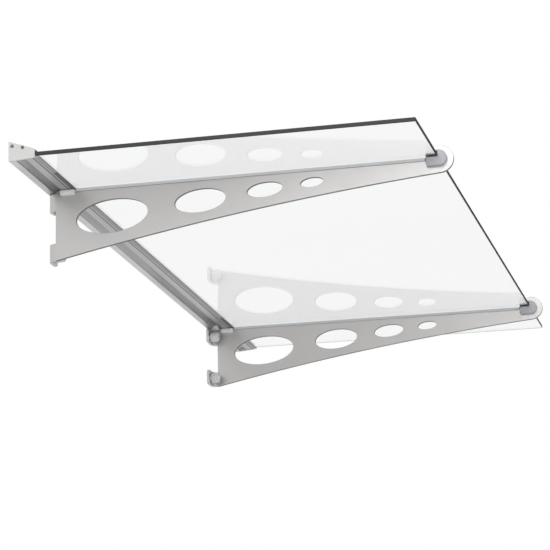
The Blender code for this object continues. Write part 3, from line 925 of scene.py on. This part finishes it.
@dataclass
class Pane:
    """The sheet of glass: a rectangle in plan, thick along its rise, with ground arrises."""

    plan: PanePlan
    corner: float = 0.0015
    upright: float = 0.3
    """How far an edge face's normal may lean, so that the arrises stay clear."""

    def build(self, finishes: Finishes) -> None:
        """Makes the pane with clear faces and dark edges.

        Args:
            finishes: The finishes.
        """
        half = self.plan.width / 2.0
        corners = [(-half, self.plan.back), (half, self.plan.back), (half, self.plan.front),
                   (-half, self.plan.front)]
        outline = rounded(corners, [self.corner] * len(corners))
        slab = Slab([outline], 0.0, self.plan.thickness, self.plan.arris, self.plan.arris, 2)
        put = self.plan.place(0.0)
        mesh = slab.build("glass_sheet", lambda across, run, rise: put(across, rise, run))
        paint(mesh, np.abs(face_values(mesh, "normal")[:, 2]) < self.upright)
        show("glass_sheet", mesh, [finishes.glass, finishes.glass_edge], ["glass_pane"])


# The wall rail

@dataclass
class WallRail:
    """The extruded rail with its gaskets, end caps and cap screws."""

    plan: PanePlan
    depth: float = 0.050
    top: float = 0.019
    nose_top: float = 0.0003
    bottom: float = -0.019
    jaw_bottom: float = -0.0166
    foot_depth: float = 0.014
    cove_top: float = -0.0128
    cove_middle: float = 0.022
    cove_end: float = 0.0315
    drip_reach: float = 0.0460
    drip_size: float = 0.0010
    corner: float = 0.0010
    gasket: float = 0.0012
    lower_lip: float = 0.0068
    lower_lip_thickness: float = 0.0024
    upper_lip: float = 0.0042
    cap_thickness: float = 0.0028
    cap_floor: float = 0.0010
    cap_bore: float = 0.0035
    screw_places: tuple[tuple[float, float], ...] = ((0.0070, 0.0090), (0.0270, 0.0046))
    bolt_x: float = 0.530
    bolt_height: float = -0.0093
    pocket_floor: float = 0.004
    pocket_end: float = 0.030
    pocket_radius: float = 0.013

    def outline(self) -> Points:
        """The rail's section: foot, cove of two quarter ellipses, drip line, channel and top.

        Returns:
            The points.
        """
        plan = self.plan
        low = -(self.gasket + 2.0 * GAP)
        high = plan.thickness + self.gasket + 2.0 * GAP
        channel = plan.back - GAP
        cove = np.concatenate([
            arc((self.cove_middle, self.bottom),
                (self.cove_middle - self.foot_depth, self.cove_top - self.bottom), pi, pi / 2.0, 12),
            arc((self.cove_middle, self.jaw_bottom),
                (self.cove_end - self.cove_middle, self.cove_top - self.jaw_bottom),
                pi / 2.0, 0.0, 12)[1:],
        ])
        rest = rounded(
            [(self.drip_reach - self.drip_size, self.jaw_bottom),
             (self.drip_reach, self.jaw_bottom + self.drip_size),
             (self.drip_reach + self.drip_size, self.jaw_bottom),
             (self.depth, self.jaw_bottom),
             (self.depth, plan.height(self.depth, low)),
             plan.at(channel, low), plan.at(channel, high),
             (self.depth, plan.height(self.depth, high)),
             (self.depth, self.nose_top),
             (0.0, self.top), (0.0, self.bottom)],
            [0.0, 0.0, 0.0, self.corner, 0.0005, 0.0, 0.0, 0.0005, self.corner, 0.0006, 0.0006])
        return np.concatenate([cove, rest])

    def build(self, finishes: Finishes) -> None:
        """Makes the rail and everything on it.

        Args:
            finishes: The finishes.
        """
        self._build_rail(finishes)
        self._build_gaskets(finishes)
        for side in Side:
            self._build_cap(side, finishes)

    def _build_rail(self, finishes: Finishes) -> None:
        """Sweeps the section along the rail and cuts the two bolt pockets out of it.

        Args:
            finishes: The finishes.
        """
        half = self.plan.width / 2.0
        chamber = np.array([(0.012, 0.0055), (0.022, 0.0055), (0.022, 0.0082), (0.012, 0.0120)])
        slab = Slab([self.outline(), chamber], -half, half, 0.0002, 0.0002, 1)
        mesh = slab.build("rail_extrusion", along_x)
        middles = face_values(mesh, "center")
        reach, height = -middles[:, 1], middles[:, 2]
        # The cove's hollow takes the darker copy of the aluminium as painted shade.
        hollow = (reach > self.foot_depth - NEAR) & (reach < self.cove_end + NEAR) & (
            height > self.bottom + NEAR) & (height < self.cove_top + NEAR)
        # The drip groove's faces take the dark rubber as painted shade.
        painted_groove_shade = (np.abs(reach - self.drip_reach) < self.drip_size) & (
            height > self.jaw_bottom + NEAR) & (height < self.jaw_bottom + self.drip_size)
        # The foot's underside takes the lighter copy of the aluminium as painted light.
        foot = (reach < self.foot_depth) & (height < self.bottom + NEAR)
        paint(mesh, 1 * hollow + 2 * foot + 3 * painted_groove_shade)
        rail = show("rail_extrusion", mesh, [finishes.rail, finishes.cove, finishes.foot, finishes.gasket],
                    ["wall_rail"])
        for side in Side:
            x = side.sign * self.bolt_x
            below = self.bottom - self.pocket_radius
            crown = arc((x, self.bolt_height), (self.pocket_radius, self.pocket_radius), 0.0, pi, 32)
            sides = np.array([(x - self.pocket_radius, below), (x + self.pocket_radius, below)])
            pocket = Slab([np.concatenate([crown, sides])], self.pocket_floor, self.pocket_end,
                          0.0005, 0.0005, 2)
            cut_out(rail, pocket.build("pocket", along_reach))

    def _build_gaskets(self, finishes: Finishes) -> None:
        """Sweeps the lower lip, which ends in a bead, and the upper wedge.

        Args:
            finishes: The finishes.
        """
        plan = self.plan
        half = plan.width / 2.0
        lip = self.depth + GAP
        bead = self.lower_lip_thickness / 2.0
        bead_reach = self.depth + self.lower_lip - bead
        bead_centre = (bead_reach, plan.height(bead_reach, -GAP - bead))
        lower = np.concatenate([
            np.array([plan.at(plan.back, -GAP - self.gasket),
                      (lip, plan.height(lip, -GAP - self.gasket)),
                      (lip, plan.height(lip, -GAP - self.lower_lip_thickness))]),
            arc(bead_centre, (bead, bead), -pi / 2.0 - plan.fall, pi / 2.0 - plan.fall, 12),
            np.array([plan.at(plan.back, -GAP)]),
        ])
        mesh = Slab([lower], -half, half, 0.0001, 0.0001, 1).build("lower_glazing_gasket", along_x)
        show("lower_glazing_gasket", mesh, [finishes.lower_gasket], ["glass_gasket_lower"])
        top = plan.thickness + GAP
        tip = self.depth + self.upper_lip
        upper = np.array([
            plan.at(plan.back, top), (tip, plan.height(tip, top)), (lip, self.nose_top - self.corner),
            (lip, plan.height(lip, top + self.gasket)), plan.at(plan.back, top + self.gasket),
        ])
        mesh = Slab([upper], -half, half, 0.0001, 0.0001, 1).build("upper_glazing_gasket", along_x)
        show("upper_glazing_gasket", mesh, [finishes.gasket], ["glass_gasket_upper"])

    def _build_cap(self, side: Side, finishes: Finishes) -> None:
        """Makes an end cap: a plate with rounded rim and two stepped bores, and its screws.

        Args:
            side: Which end of the rail.
            finishes: The finishes.
        """
        inner = self.plan.width / 2.0 + GAP
        outline = rounded(
            [(0.0, self.bottom), (self.foot_depth, self.bottom), (self.depth, self.jaw_bottom),
             (self.depth, self.nose_top), (0.0, self.top)],
            [0.0008, 0.004, 0.0012, 0.0012, 0.0008])
        step = side.sign * (inner + self.cap_floor)
        outer = side.sign * (inner + self.cap_thickness)
        bores = [ring(place, (self.cap_bore, self.cap_bore), 40) for place in self.screw_places]
        pilots = [ring(place, (0.0018, 0.0018), 24) for place in self.screw_places]
        face = Slab([outline] + bores, step, outer, 0.0, 0.0002, 2)
        floor = Slab([outline] + pilots, side.sign * inner, step, 0.0002, 0.0, 1)
        name = f"rail_cap_{side.value}"
        mesh = join(name, [face.build(name, along_x), floor.build(name, along_x)])
        middles = face_values(mesh, "center")
        bored = [np.hypot(middles[:, 1] + reach, middles[:, 2] - height) < self.cap_bore + NEAR
                 for reach, height in self.screw_places]
        paint(mesh, np.logical_or.reduce(bored))
        show(name, mesh, [finishes.cap, finishes.recess], [f"rail_end_cap_{side.value}"])
        for number, place in enumerate(self.screw_places, 1):
            self._build_screw(side, number, place, finishes)

    def _build_screw(self, side: Side, number: int, place: tuple[float, float],
                     finishes: Finishes) -> None:
        """Makes a sunk screw with a crowned head and a socket.

        Args:
            side: Which end of the rail.
            number: Which of that end's screws.
            place: Its (reach, height).
            finishes: The finishes.
        """
        seat = self.plan.width / 2.0 + 2.0 * GAP + self.cap_floor
        profile = np.array([
            (0.0, -0.0120), (0.0004, -0.0120), (0.0015, -0.0105), (0.0015, -0.0001), (0.0021, 0.0),
            (0.0023, 0.0002), (0.0023, 0.0006), (0.0021, 0.0009), (0.0010, 0.0009), (0.0010, 0.0003),
            (0.0, 0.0002),
        ])
        name = f"cap_screw_{side.value}_{number}"
        mesh = Turning(profile, 36).build(name, (0.0, 0.0, 0.0))
        turn = Matrix.Rotation(side.sign * pi / 2.0, 4, "Z")
        mesh.transform(Matrix.Translation((side.sign * seat, -place[0], place[1])) @ turn)
        # The head takes the dark cut-edge finish as painted shade of the recess it sits in.
        show(name, mesh, [finishes.cut_edge_and_screw_shade], [f"end_cap_screw_{side.value}_{number}"])


def join(name: str, meshes: Sequence[bpy.types.Mesh]) -> bpy.types.Mesh:
    """Puts several meshes into one.

    Args:
        name: The new mesh's name.
        meshes: The meshes, which are used up.

    Returns:
        The joined mesh.
    """
    shape = bmesh.new()
    for mesh in meshes:
        shape.from_mesh(mesh)
        bpy.data.meshes.remove(mesh)
    whole = bpy.data.meshes.new(name)
    shape.to_mesh(whole)
    shape.free()
    return whole


def cut_out(piece: bpy.types.Object, hollow: bpy.types.Mesh) -> None:
    """Cuts a closed mesh out of a piece for good.

    Args:
        piece: The piece.
        hollow: The mesh to cut with, which is used up.
    """
    cutter = bpy.data.objects.new("cutter", hollow)
    bpy.context.scene.collection.objects.link(cutter)
    modifier = piece.modifiers.new("cut", "BOOLEAN")
    modifier.operation = "DIFFERENCE"
    modifier.solver = "EXACT"
    modifier.object = cutter
    graph = bpy.context.evaluated_depsgraph_get()
    made = bpy.data.meshes.new_from_object(piece.evaluated_get(graph))
    piece.modifiers.clear()
    old = piece.data
    piece.data = made
    bpy.data.meshes.remove(old)
    bpy.data.objects.remove(cutter)
    bpy.data.meshes.remove(hollow)


# Brackets

@dataclass
class Bracket:
    """One folded sheet with its bearing strip and seat block.

    The flat blank is a slab in (run on the sheet, height). Folding turns a point at angle a round
    the fold's axis: a = a right angle times how far the point lies into the fold.
    """

    plan: PanePlan
    side: Side
    outer_face: float = 0.550
    sheet: float = 0.006
    fold_radius: float = 0.0167
    foot_width: float = 0.042
    foot_corner: float = 0.006
    top: float = -0.0196
    upper_foot_bottom: float = -0.051
    lower_foot_top: float = -0.118
    bottom: float = -0.15198
    bow: float = 0.01175
    eye_radius: float = 0.02597
    eye_run: float = 0.7538
    eye_drop: float = 0.0038
    strip_height: float = 0.0046
    liner: float = 0.0005
    arris: float = 0.00045
    bolt_from_face: float = 0.026
    bolt_heights: tuple[float, float] = (-0.0385, -0.1360)
    bolt_hole: float = 0.0046
    seat_start: float = 0.028
    seat_end: float = 0.0562
    seat_cheek: float = 0.010
    seat_top: float = -0.0169
    seat_roof: float = 0.0050
    seat_height: float = 0.0095
    strip_start: float = 0.0572
    strip_skin: float = 0.0012
    strip_lap: float = 0.0015
    # A trim face whose normal's Z is below this is painted dark as shade.
    strip_underside: float = -0.7
    tilt: float = radians(3.0)
    ovals: tuple[tuple[float, float, float, float], ...] = (
        (0.1280, -0.0749, 0.141, 0.065), (0.3004, -0.0635, 0.099, 0.045),
        (0.4248, -0.0556, 0.068, 0.028), (0.5143, -0.0513, 0.043, 0.018),
    )
    fold_steps: int = 14
    fold_length: float = field(init=False)

    def __post_init__(self) -> None:
        """Works out the fold's length along the sheet's middle."""
        self.fold_length = (self.fold_radius - self.sheet / 2.0) * pi / 2.0

    @property
    def middle_x(self) -> float:
        """X of the middle of the sheet."""
        return self.side.sign * (self.outer_face - self.sheet / 2.0)

    def foot_run(self, from_face: float) -> float:
        """Where a point of a foot lies on the flat sheet, by its distance from the outer face."""
        return 2.0 * self.fold_radius - self.fold_length - from_face

    def lower_edge(self) -> tuple[Points, float]:
        """The bowed lower edge, a circle's arc with a given bow that runs smoothly into the eye.

        Returns:
            Its points, and its slope where it meets the eye.
        """
        rear = Vector((self.fold_radius, self.bottom))
        centre = Vector(self.plan.at(self.eye_run, -self.eye_drop))
        front = centre - Vector((0.0, self.eye_radius))
        slope, radius = 0.0, 1.0
        for _ in range(8):
            chord = front - rear
            half = chord.length / 2.0
            radius = (half * half + self.bow * self.bow) / (2.0 * self.bow)
            slope = atan2(chord.y, chord.x) - asin(half / radius)
            front = centre + self.eye_radius * Vector((sin(slope), -cos(slope)))
        chord = front - rear
        half = chord.length / 2.0
        across = Vector((chord.y, -chord.x)).normalized()
        middle = (rear + front) / 2.0 + across * sqrt(radius * radius - half * half)
        start = atan2(rear.y - middle.y, rear.x - middle.x)
        end = atan2(front.y - middle.y, front.x - middle.x)
        return arc(tuple(middle), (radius, radius), start, end, 90), slope

    def outline(self) -> Points:
        """The blank's outline, from the lower foot along the edge and the eye to the upper foot.

        Returns:
            The points.
        """
        plan = self.plan
        end = self.foot_run(self.foot_width)
        corner = self.foot_corner
        slot_low = -(self.liner + 2.0 * GAP)
        slot_high = plan.thickness + self.liner + 2.0 * GAP
        slot_end = plan.front + self.liner + 2.0 * GAP
        plate_top = -(self.strip_height + 2.0 * GAP)
        centre = plan.at(self.eye_run, -self.eye_drop)
        size = (self.eye_radius, self.eye_radius)

        def behind(rise: float) -> float:
            """The angle of the eye's rear rim at a rise."""
            return pi - asin((rise + self.eye_drop) / self.eye_radius) - plan.fall

        def foot_corner(low: float, first: float) -> Points:
            """A rounded corner of a foot's free end."""
            return arc((end + corner, low), (corner, corner), first, first + pi / 2.0, 8)

        edge, slope = self.lower_edge()
        shoulder = self.seat_end + GAP
        notch = self.seat_top - self.seat_roof - GAP
        return np.concatenate([
            foot_corner(self.lower_foot_top - corner, pi / 2.0),
            foot_corner(self.bottom + corner, pi),
            edge,
            arc(centre, size, slope - pi / 2.0, behind(slot_high), 96)[1:],
            np.array([plan.at(slot_end, slot_high), plan.at(slot_end, slot_low)]),
            arc(centre, size, behind(slot_low), behind(plate_top), 4),
            np.array([(shoulder, plan.height(shoulder, plate_top)), (shoulder, notch),
                      (self.seat_start - GAP, notch), (self.seat_start - GAP, self.top)]),
            foot_corner(self.top - corner, pi / 2.0),
            foot_corner(self.upper_foot_bottom + corner, pi),
            rounded([(self.fold_radius, self.upper_foot_bottom), (self.fold_radius, self.lower_foot_top),
                     (end + corner, self.lower_foot_top)], [0.0012, 0.0012, 0.0])[:-1],
        ])

    def fold(self, run: Points, height: Points, depth: Points) -> Points:
        """Folds the blank: flat beyond the fold, round it, and flat again along the wall.

        Args:
            run: Along the flat sheet.
            height: Up.
            depth: 0 on the outer face.

        Returns:
            The folded points.
        """
        turned = np.clip((self.fold_radius - run) / self.fold_length, 0.0, 1.0)
        angle = turned * pi / 2.0
        radius = self.fold_radius - depth
        past = np.maximum(self.fold_radius - self.fold_length - run, 0.0)
        ahead = np.maximum(run - self.fold_radius, 0.0)
        inward = self.fold_radius - radius * np.cos(angle) + past
        reach = self.fold_radius - radius * np.sin(angle) + ahead
        return np.stack([self.side.sign * (self.outer_face - inward), -reach, height], axis=1)

    def build(self, finishes: Finishes) -> None:
        """Makes the plate, its bearing strip and its seat block.

        Args:
            finishes: The finishes.
        """
        loops = [self.outline()]
        loops += [
            ring((reach, height), (length / 2.0, width / 2.0), max(64, round(length * 900)), self.tilt)
            for reach, height, length, width in self.ovals
        ]
        loops += [
            ring((self.foot_run(self.bolt_from_face), height), (self.bolt_hole, self.bolt_hole), 32)
            for height in self.bolt_heights
        ]
        slab = Slab(loops, 0.0, self.sheet, self.arris, self.arris, 3)
        steps = np.linspace(self.fold_radius - self.fold_length, self.fold_radius, self.fold_steps + 1)
        name = f"bracket_plate_{self.side.value}"
        mesh = slab.build(name, self.fold, tuple(steps.tolist()))
        kinds = np.empty(len(mesh.polygons), dtype=np.int32)
        mesh.polygons.foreach_get("material_index", kinds)
        paint(mesh, kinds * (face_values(mesh, "center")[:, 1] < -self.fold_radius))
        show(name, mesh, [finishes.steel, finishes.cut_edge_and_screw_shade],
             [f"bracket_{self.side.value}"])
        self._build_strip(finishes)
        self._build_seat(finishes)

    def _build_strip(self, finishes: Finishes) -> None:
        """Sweeps the trim's U along the plate's upper edge.

        Args:
            finishes: The finishes.
        """
        slot = self.sheet / 2.0 + GAP
        half = slot + self.strip_skin
        roof = -GAP - self.strip_height
        foot = roof - self.strip_lap
        section = rounded(
            [(half, foot), (half, -GAP), (-half, -GAP), (-half, foot), (-slot, foot), (-slot, roof),
             (slot, roof), (slot, foot)],
            [0.0004, 0.0010, 0.0010, 0.0004, 0.0, 0.0, 0.0, 0.0])
        end = self.eye_run - self.eye_radius - GAP
        slab = Slab([section], self.strip_start, end, 0.0002, 0.0002, 1)
        name = f"bearing_trim_{self.side.value}"
        mesh = slab.build(name, self.plan.place(self.middle_x))
        # Faces of the trim that look down take the dark liner finish as painted shade.
        paint(mesh, face_values(mesh, "normal")[:, 2] < self.strip_underside)
        show(name, mesh, [finishes.strip, finishes.liner],
             [f"bearing_strip_{self.side.value}"])

    def _build_seat(self, finishes: Finishes) -> None:
        """Sweeps the saddle's section out from the wall, its edges well rounded.

        Args:
            finishes: The finishes.
        """
        slot = self.sheet / 2.0 + GAP
        half = slot + self.seat_cheek
        bottom = self.seat_top - self.seat_height
        roof = self.seat_top - self.seat_roof
        section = rounded(
            [(half, bottom), (half, self.seat_top), (-half, self.seat_top), (-half, bottom),
             (-slot, bottom), (-slot, roof), (slot, roof), (slot, bottom)],
            [0.0024, 0.0024, 0.0024, 0.0024, 0.0, 0.0, 0.0, 0.0], 5)
        section = section + np.array([[self.middle_x, 0.0]])
        slab = Slab([section], self.seat_start, self.seat_end, 0.0018, 0.0018, 4)
        name = f"seat_saddle_{self.side.value}"
        mesh = slab.build(name, along_reach)
        show(name, mesh, [finishes.seat], [f"seat_block_{self.side.value}"])


@dataclass
class FrontClamp:
    """The two cheeks at a bracket's eye that hold the pane's front edge."""

    plan: PanePlan
    bracket: Bracket
    radius: float = 0.016
    nose: float = 0.0142
    back: float = 0.0243
    corner: float = 0.0040
    lip_corner: float = 0.0020
    cheek: float = 0.0080
    arris: float = 0.0024
    back_arris: float = 0.0002
    lip_share: float = 0.30
    upper_slot_share: float = 0.25
    lower_slot_share: float = 0.35

    def outline(self) -> tuple[Points, Points]:
        """A cheek's outline in (run, rise) from the eye's centre: round in front, slotted behind.

        Returns:
            The points, and the share of the arris at each: full outside, little along the slot.
        """
        bracket = self.bracket
        low = bracket.eye_drop - (bracket.liner + 2.0 * GAP)
        high = bracket.eye_drop + self.plan.thickness + bracket.liner + 2.0 * GAP
        slot = self.plan.front + bracket.liner + 2.0 * GAP - bracket.eye_run
        lip, corner, back = self.lip_corner, self.corner, -self.back
        parts = [
            (arc((0.0, 0.0), (self.nose, self.nose), -pi / 2.0, 0.0, 24), 1.0),
            (arc((0.0, 0.0), (self.nose, self.radius), 0.0, pi / 2.0, 24)[1:], 1.0),
            (arc((back + lip, self.radius - lip), (lip, lip), pi / 2.0, pi, 6), self.lip_share),
            (np.array([(back, high), (slot, high)]), self.upper_slot_share),
            (np.array([(slot, low), (back, low)]), self.lower_slot_share),
            (np.array([(back, low - self.arris)]), 1.0),
            (arc((back + corner, corner - self.nose), (corner, corner), pi, 1.5 * pi, 8), 1.0),
        ]
        softness = np.concatenate([np.full(len(points), share) for points, share in parts])
        return np.concatenate([points for points, _ in parts]), softness

    def build(self, finishes: Finishes) -> None:
        """Makes both cheeks as slabs with one well rounded face.

        Args:
            finishes: The finishes.
        """
        bracket = self.bracket
        put = self.plan.place(0.0)
        side = bracket.side
        outline, softness = self.outline()

        def place(run: Points, rise: Points, depth: Points) -> Points:
            """Puts a cheek's (run, rise) from the eye's centre and its X in place."""
            return put(depth, rise - bracket.eye_drop, run + bracket.eye_run)

        for cheek, face, outward in (
            ("outer", bracket.outer_face + GAP, 1.0),
            ("inner", bracket.outer_face - bracket.sheet - GAP, -1.0),
        ):
            near = side.sign * face
            far = side.sign * (face + outward * self.cheek)
            slab = Slab([outline], near, far, self.back_arris, self.arris, 5, softness)
            name = f"clamp_cheek_{side.value}_{cheek}"
            mesh = slab.build(name, place)
            show(name, mesh, [finishes.clamp], [f"front_clamp_{side.value}_{cheek}"])
        dress(f"front_clamp_screw_{side.value}", finishes.zinc)
        dress(f"front_liner_{side.value}", finishes.liner)


class FixingPlace(Enum):
    """Where a wall fixing sits: the height and the reach of what it holds."""

    UPPER = ("upper", -0.0385, 0.006, 0.524)
    LOWER = ("lower", -0.1360, 0.006, 0.524)
    RAIL = ("rail", -0.0093, 0.004, 0.530)


@dataclass
class WallFixing:
    """A washer and a domed cover over the bolt's head."""

    side: Side
    place: FixingPlace
    washer_radius: float = 0.0100
    washer_thickness: float = 0.0020
    bolt_radius: float = 0.0040
    head_radius: float = 0.0075
    head_height: float = 0.0055
    radius: float = 0.0115
    length: float = 0.0182
    edge: float = 0.0035
    crown: float = 0.0012
    mouth: float = 0.0008

    def build(self, finishes: Finishes) -> None:
        """Turns the washer and the cover, whose dome is an arc that flattens to the crown.

        Args:
            finishes: The finishes.
        """
        word, height, seat, x = self.place.value
        middle = (self.side.sign * x, 0.0, height)
        where = f"{self.side.value}_{word}"
        back = seat + GAP
        front = back + self.washer_thickness
        soft = 0.0003
        washer = np.array([
            (self.bolt_radius + GAP, back), (self.washer_radius - soft, back),
            (self.washer_radius, back + soft), (self.washer_radius, front - soft),
            (self.washer_radius - soft, front), (self.bolt_radius + GAP, front),
        ])
        mesh = Turning(washer, 48, looped=True).build(f"fixing_washer_{where}", middle)
        show(f"fixing_washer_{where}", mesh, [finishes.zinc], [f"wall_washer_{where}"])
        dress(f"wall_bolt_{where}", finishes.zinc)
        head = front + GAP
        inside = self.head_radius + GAP
        ceiling = head + self.head_height + GAP
        end = head + self.length
        rim = arc((self.radius - self.edge, end - self.crown - self.edge), (self.edge, self.edge),
                  0.0, radians(78.0), 10)
        fade = np.linspace(0.0, 1.0, 8)[1:]
        dome = np.stack([
            rim[-1, 0] * np.cos(fade * pi / 2.0),
            rim[-1, 1] + (end - rim[-1, 1]) * np.sin(fade * pi / 2.0),
        ], axis=1)
        dome[-1, 0] = 0.0
        profile = np.concatenate([
            np.array([(0.0, ceiling), (inside, ceiling), (inside, head + soft),
                      (inside + soft, head), (self.radius - self.mouth, head),
                      (self.radius - self.mouth / 4.0, head + self.mouth / 4.0),
                      (self.radius, head + self.mouth)]),
            rim, dome,
        ])
        mesh = Turning(profile, 64).build(f"fixing_cover_{where}", middle)
        show(f"fixing_cover_{where}", mesh, [finishes.cover], [f"wall_cover_{where}"])


# The studio

@dataclass
class Studio:
    """Camera, floor, world and lamps."""

    camera_place: tuple[float, float, float] = (-4.42595, -1.43384, -1.37095)
    yaw: float = radians(14.37995)
    pitch: float = radians(16.02946)
    roll: float = radians(-1.55931)
    focal_pixels: float = 2285.02
    frame_pixels: float = 550.0
    sensor: float = 36.0
    floor_height: float = -2.45

    def build(self) -> None:
        """Sets up the whole studio."""
        bpy.context.scene.view_settings.view_transform = "Standard"
        self._camera()
        self._floor()
        self._world()
        self._lamp("key_left", (-1.9, -0.80, 0.55), (-0.5, -0.70, -0.05), 1.1, 8.0)
        self._lamp("front_soft", (-5.0, -2.2, -1.9), (0.0, -0.3, 0.0), 3.0, 100.0)
        self._lamp("fill_below", (0.4, -2.4, -2.0), (0.0, -0.4, 0.0), 2.4, 8.0)
        self._lamp("top_soft", (0.3, -1.2, 2.6), (0.0, -0.4, 0.0), 2.6, 14.0)

    def _camera(self) -> None:
        """Places the camera: forward from yaw and pitch, then right and up turned by the roll."""
        forward = Vector((cos(self.yaw) * cos(self.pitch), sin(self.yaw) * cos(self.pitch),
                          sin(self.pitch)))
        level = forward.cross(Vector((0.0, 0.0, 1.0))).normalized()
        above = level.cross(forward)
        right = level * cos(self.roll) + above * sin(self.roll)
        up = above * cos(self.roll) - level * sin(self.roll)
        data = bpy.data.cameras.new("camera")
        data.sensor_width = self.sensor
        data.lens = self.focal_pixels * self.sensor / self.frame_pixels
        data.clip_start = 0.05
        data.clip_end = 200.0
        camera = bpy.data.objects.new("camera", data)
        bpy.context.scene.collection.objects.link(camera)
        turn = Matrix((right, up, -forward)).transposed().to_4x4()
        camera.matrix_world = Matrix.Translation(self.camera_place) @ turn
        bpy.context.scene.camera = camera

    def _floor(self) -> None:
        """Lays a wide pale floor that is clear from below."""
        size = 30.0
        mesh = bpy.data.meshes.new("studio_floor")
        low = self.floor_height
        mesh.from_pydata([(-size, -size, low), (size, -size, low), (size, size, low),
                          (-size, size, low)], [], [(0, 1, 2, 3)])
        floor = bpy.data.objects.new("studio_floor", mesh)
        bpy.context.scene.collection.objects.link(floor)
        made, bench = new_material("studio_floor_pale")
        under = bench.make("ShaderNodeNewGeometry", {}, {}, "Backfacing")
        speck = bench.noise(bench.place(), 3.0, 2.0)
        paint = bench.make("ShaderNodeBsdfPrincipled", {}, {
            "Base Color": bench.blend(speck, (0.86, 0.86, 0.86), (0.88, 0.88, 0.88)),
            "Roughness": 0.9,
            "Specular IOR Level": 0.1,
        })
        white = bench.make("ShaderNodeEmission", {}, {"Color": (1.0, 1.0, 1.0, 1.0), "Strength": 1.0})
        shown = bench.make("ShaderNodeMixShader", {}, {0: bench.seen_rays() * 0.75, 1: paint, 2: white})
        clear = bench.make("ShaderNodeBsdfTransparent", {}, {})
        bench.end(bench.make("ShaderNodeMixShader", {}, {0: under, 1: shown, 2: clear}))
        mesh.materials.append(made)

    def _world(self) -> None:
        """White behind everything, a soft even light on surfaces, and a sky that metal can show."""
        world = bpy.data.worlds.new("studio_world")
        world.use_nodes = True
        bpy.context.scene.world = world
        bench = NodeBench(world.node_tree)
        white = bench.make("ShaderNodeBackground", {}, {"Color": (1.0, 1.0, 1.0, 1.0), "Strength": 1.0})
        soft = bench.make("ShaderNodeBackground", {}, {"Color": (1.0, 1.0, 1.0, 1.0), "Strength": 0.62})
        mixed = bench.make("ShaderNodeMixShader", {}, {0: bench.seen_rays(), 1: soft, 2: white})
        bench.end(mixed, "ShaderNodeOutputWorld")

    @staticmethod
    def _lamp(name: str, place: tuple[float, float, float], aim: tuple[float, float, float],
              size: float, power: float) -> None:
        """Hangs a square soft lamp.

        Args:
            name: Its name.
            place: Where it hangs.
            aim: What it points at.
            size: Its side in metres.
            power: Its power in watts.
        """
        data = bpy.data.lights.new(name, "AREA")
        data.shape = "SQUARE"
        data.size = size
        data.energy = power
        lamp = bpy.data.objects.new(name, data)
        bpy.context.scene.collection.objects.link(lamp)
        turn = (Vector(aim) - Vector(place)).to_track_quat("-Z", "Y").to_matrix().to_4x4()
        lamp.matrix_world = Matrix.Translation(place) @ turn


def main() -> None:
    """Builds every sub-assembly in order."""
    finishes = Finishes()
    plan = PanePlan()
    Pane(plan).build(finishes)
    WallRail(plan).build(finishes)
    for side in Side:
        bracket = Bracket(plan, side)
        bracket.build(finishes)
        FrontClamp(plan, bracket).build(finishes)
        for place in FixingPlace:
            WallFixing(side, place).build(finishes)
    Studio().build()
    log.info("canopy dressed")


if __name__ == "__main__":
    main()
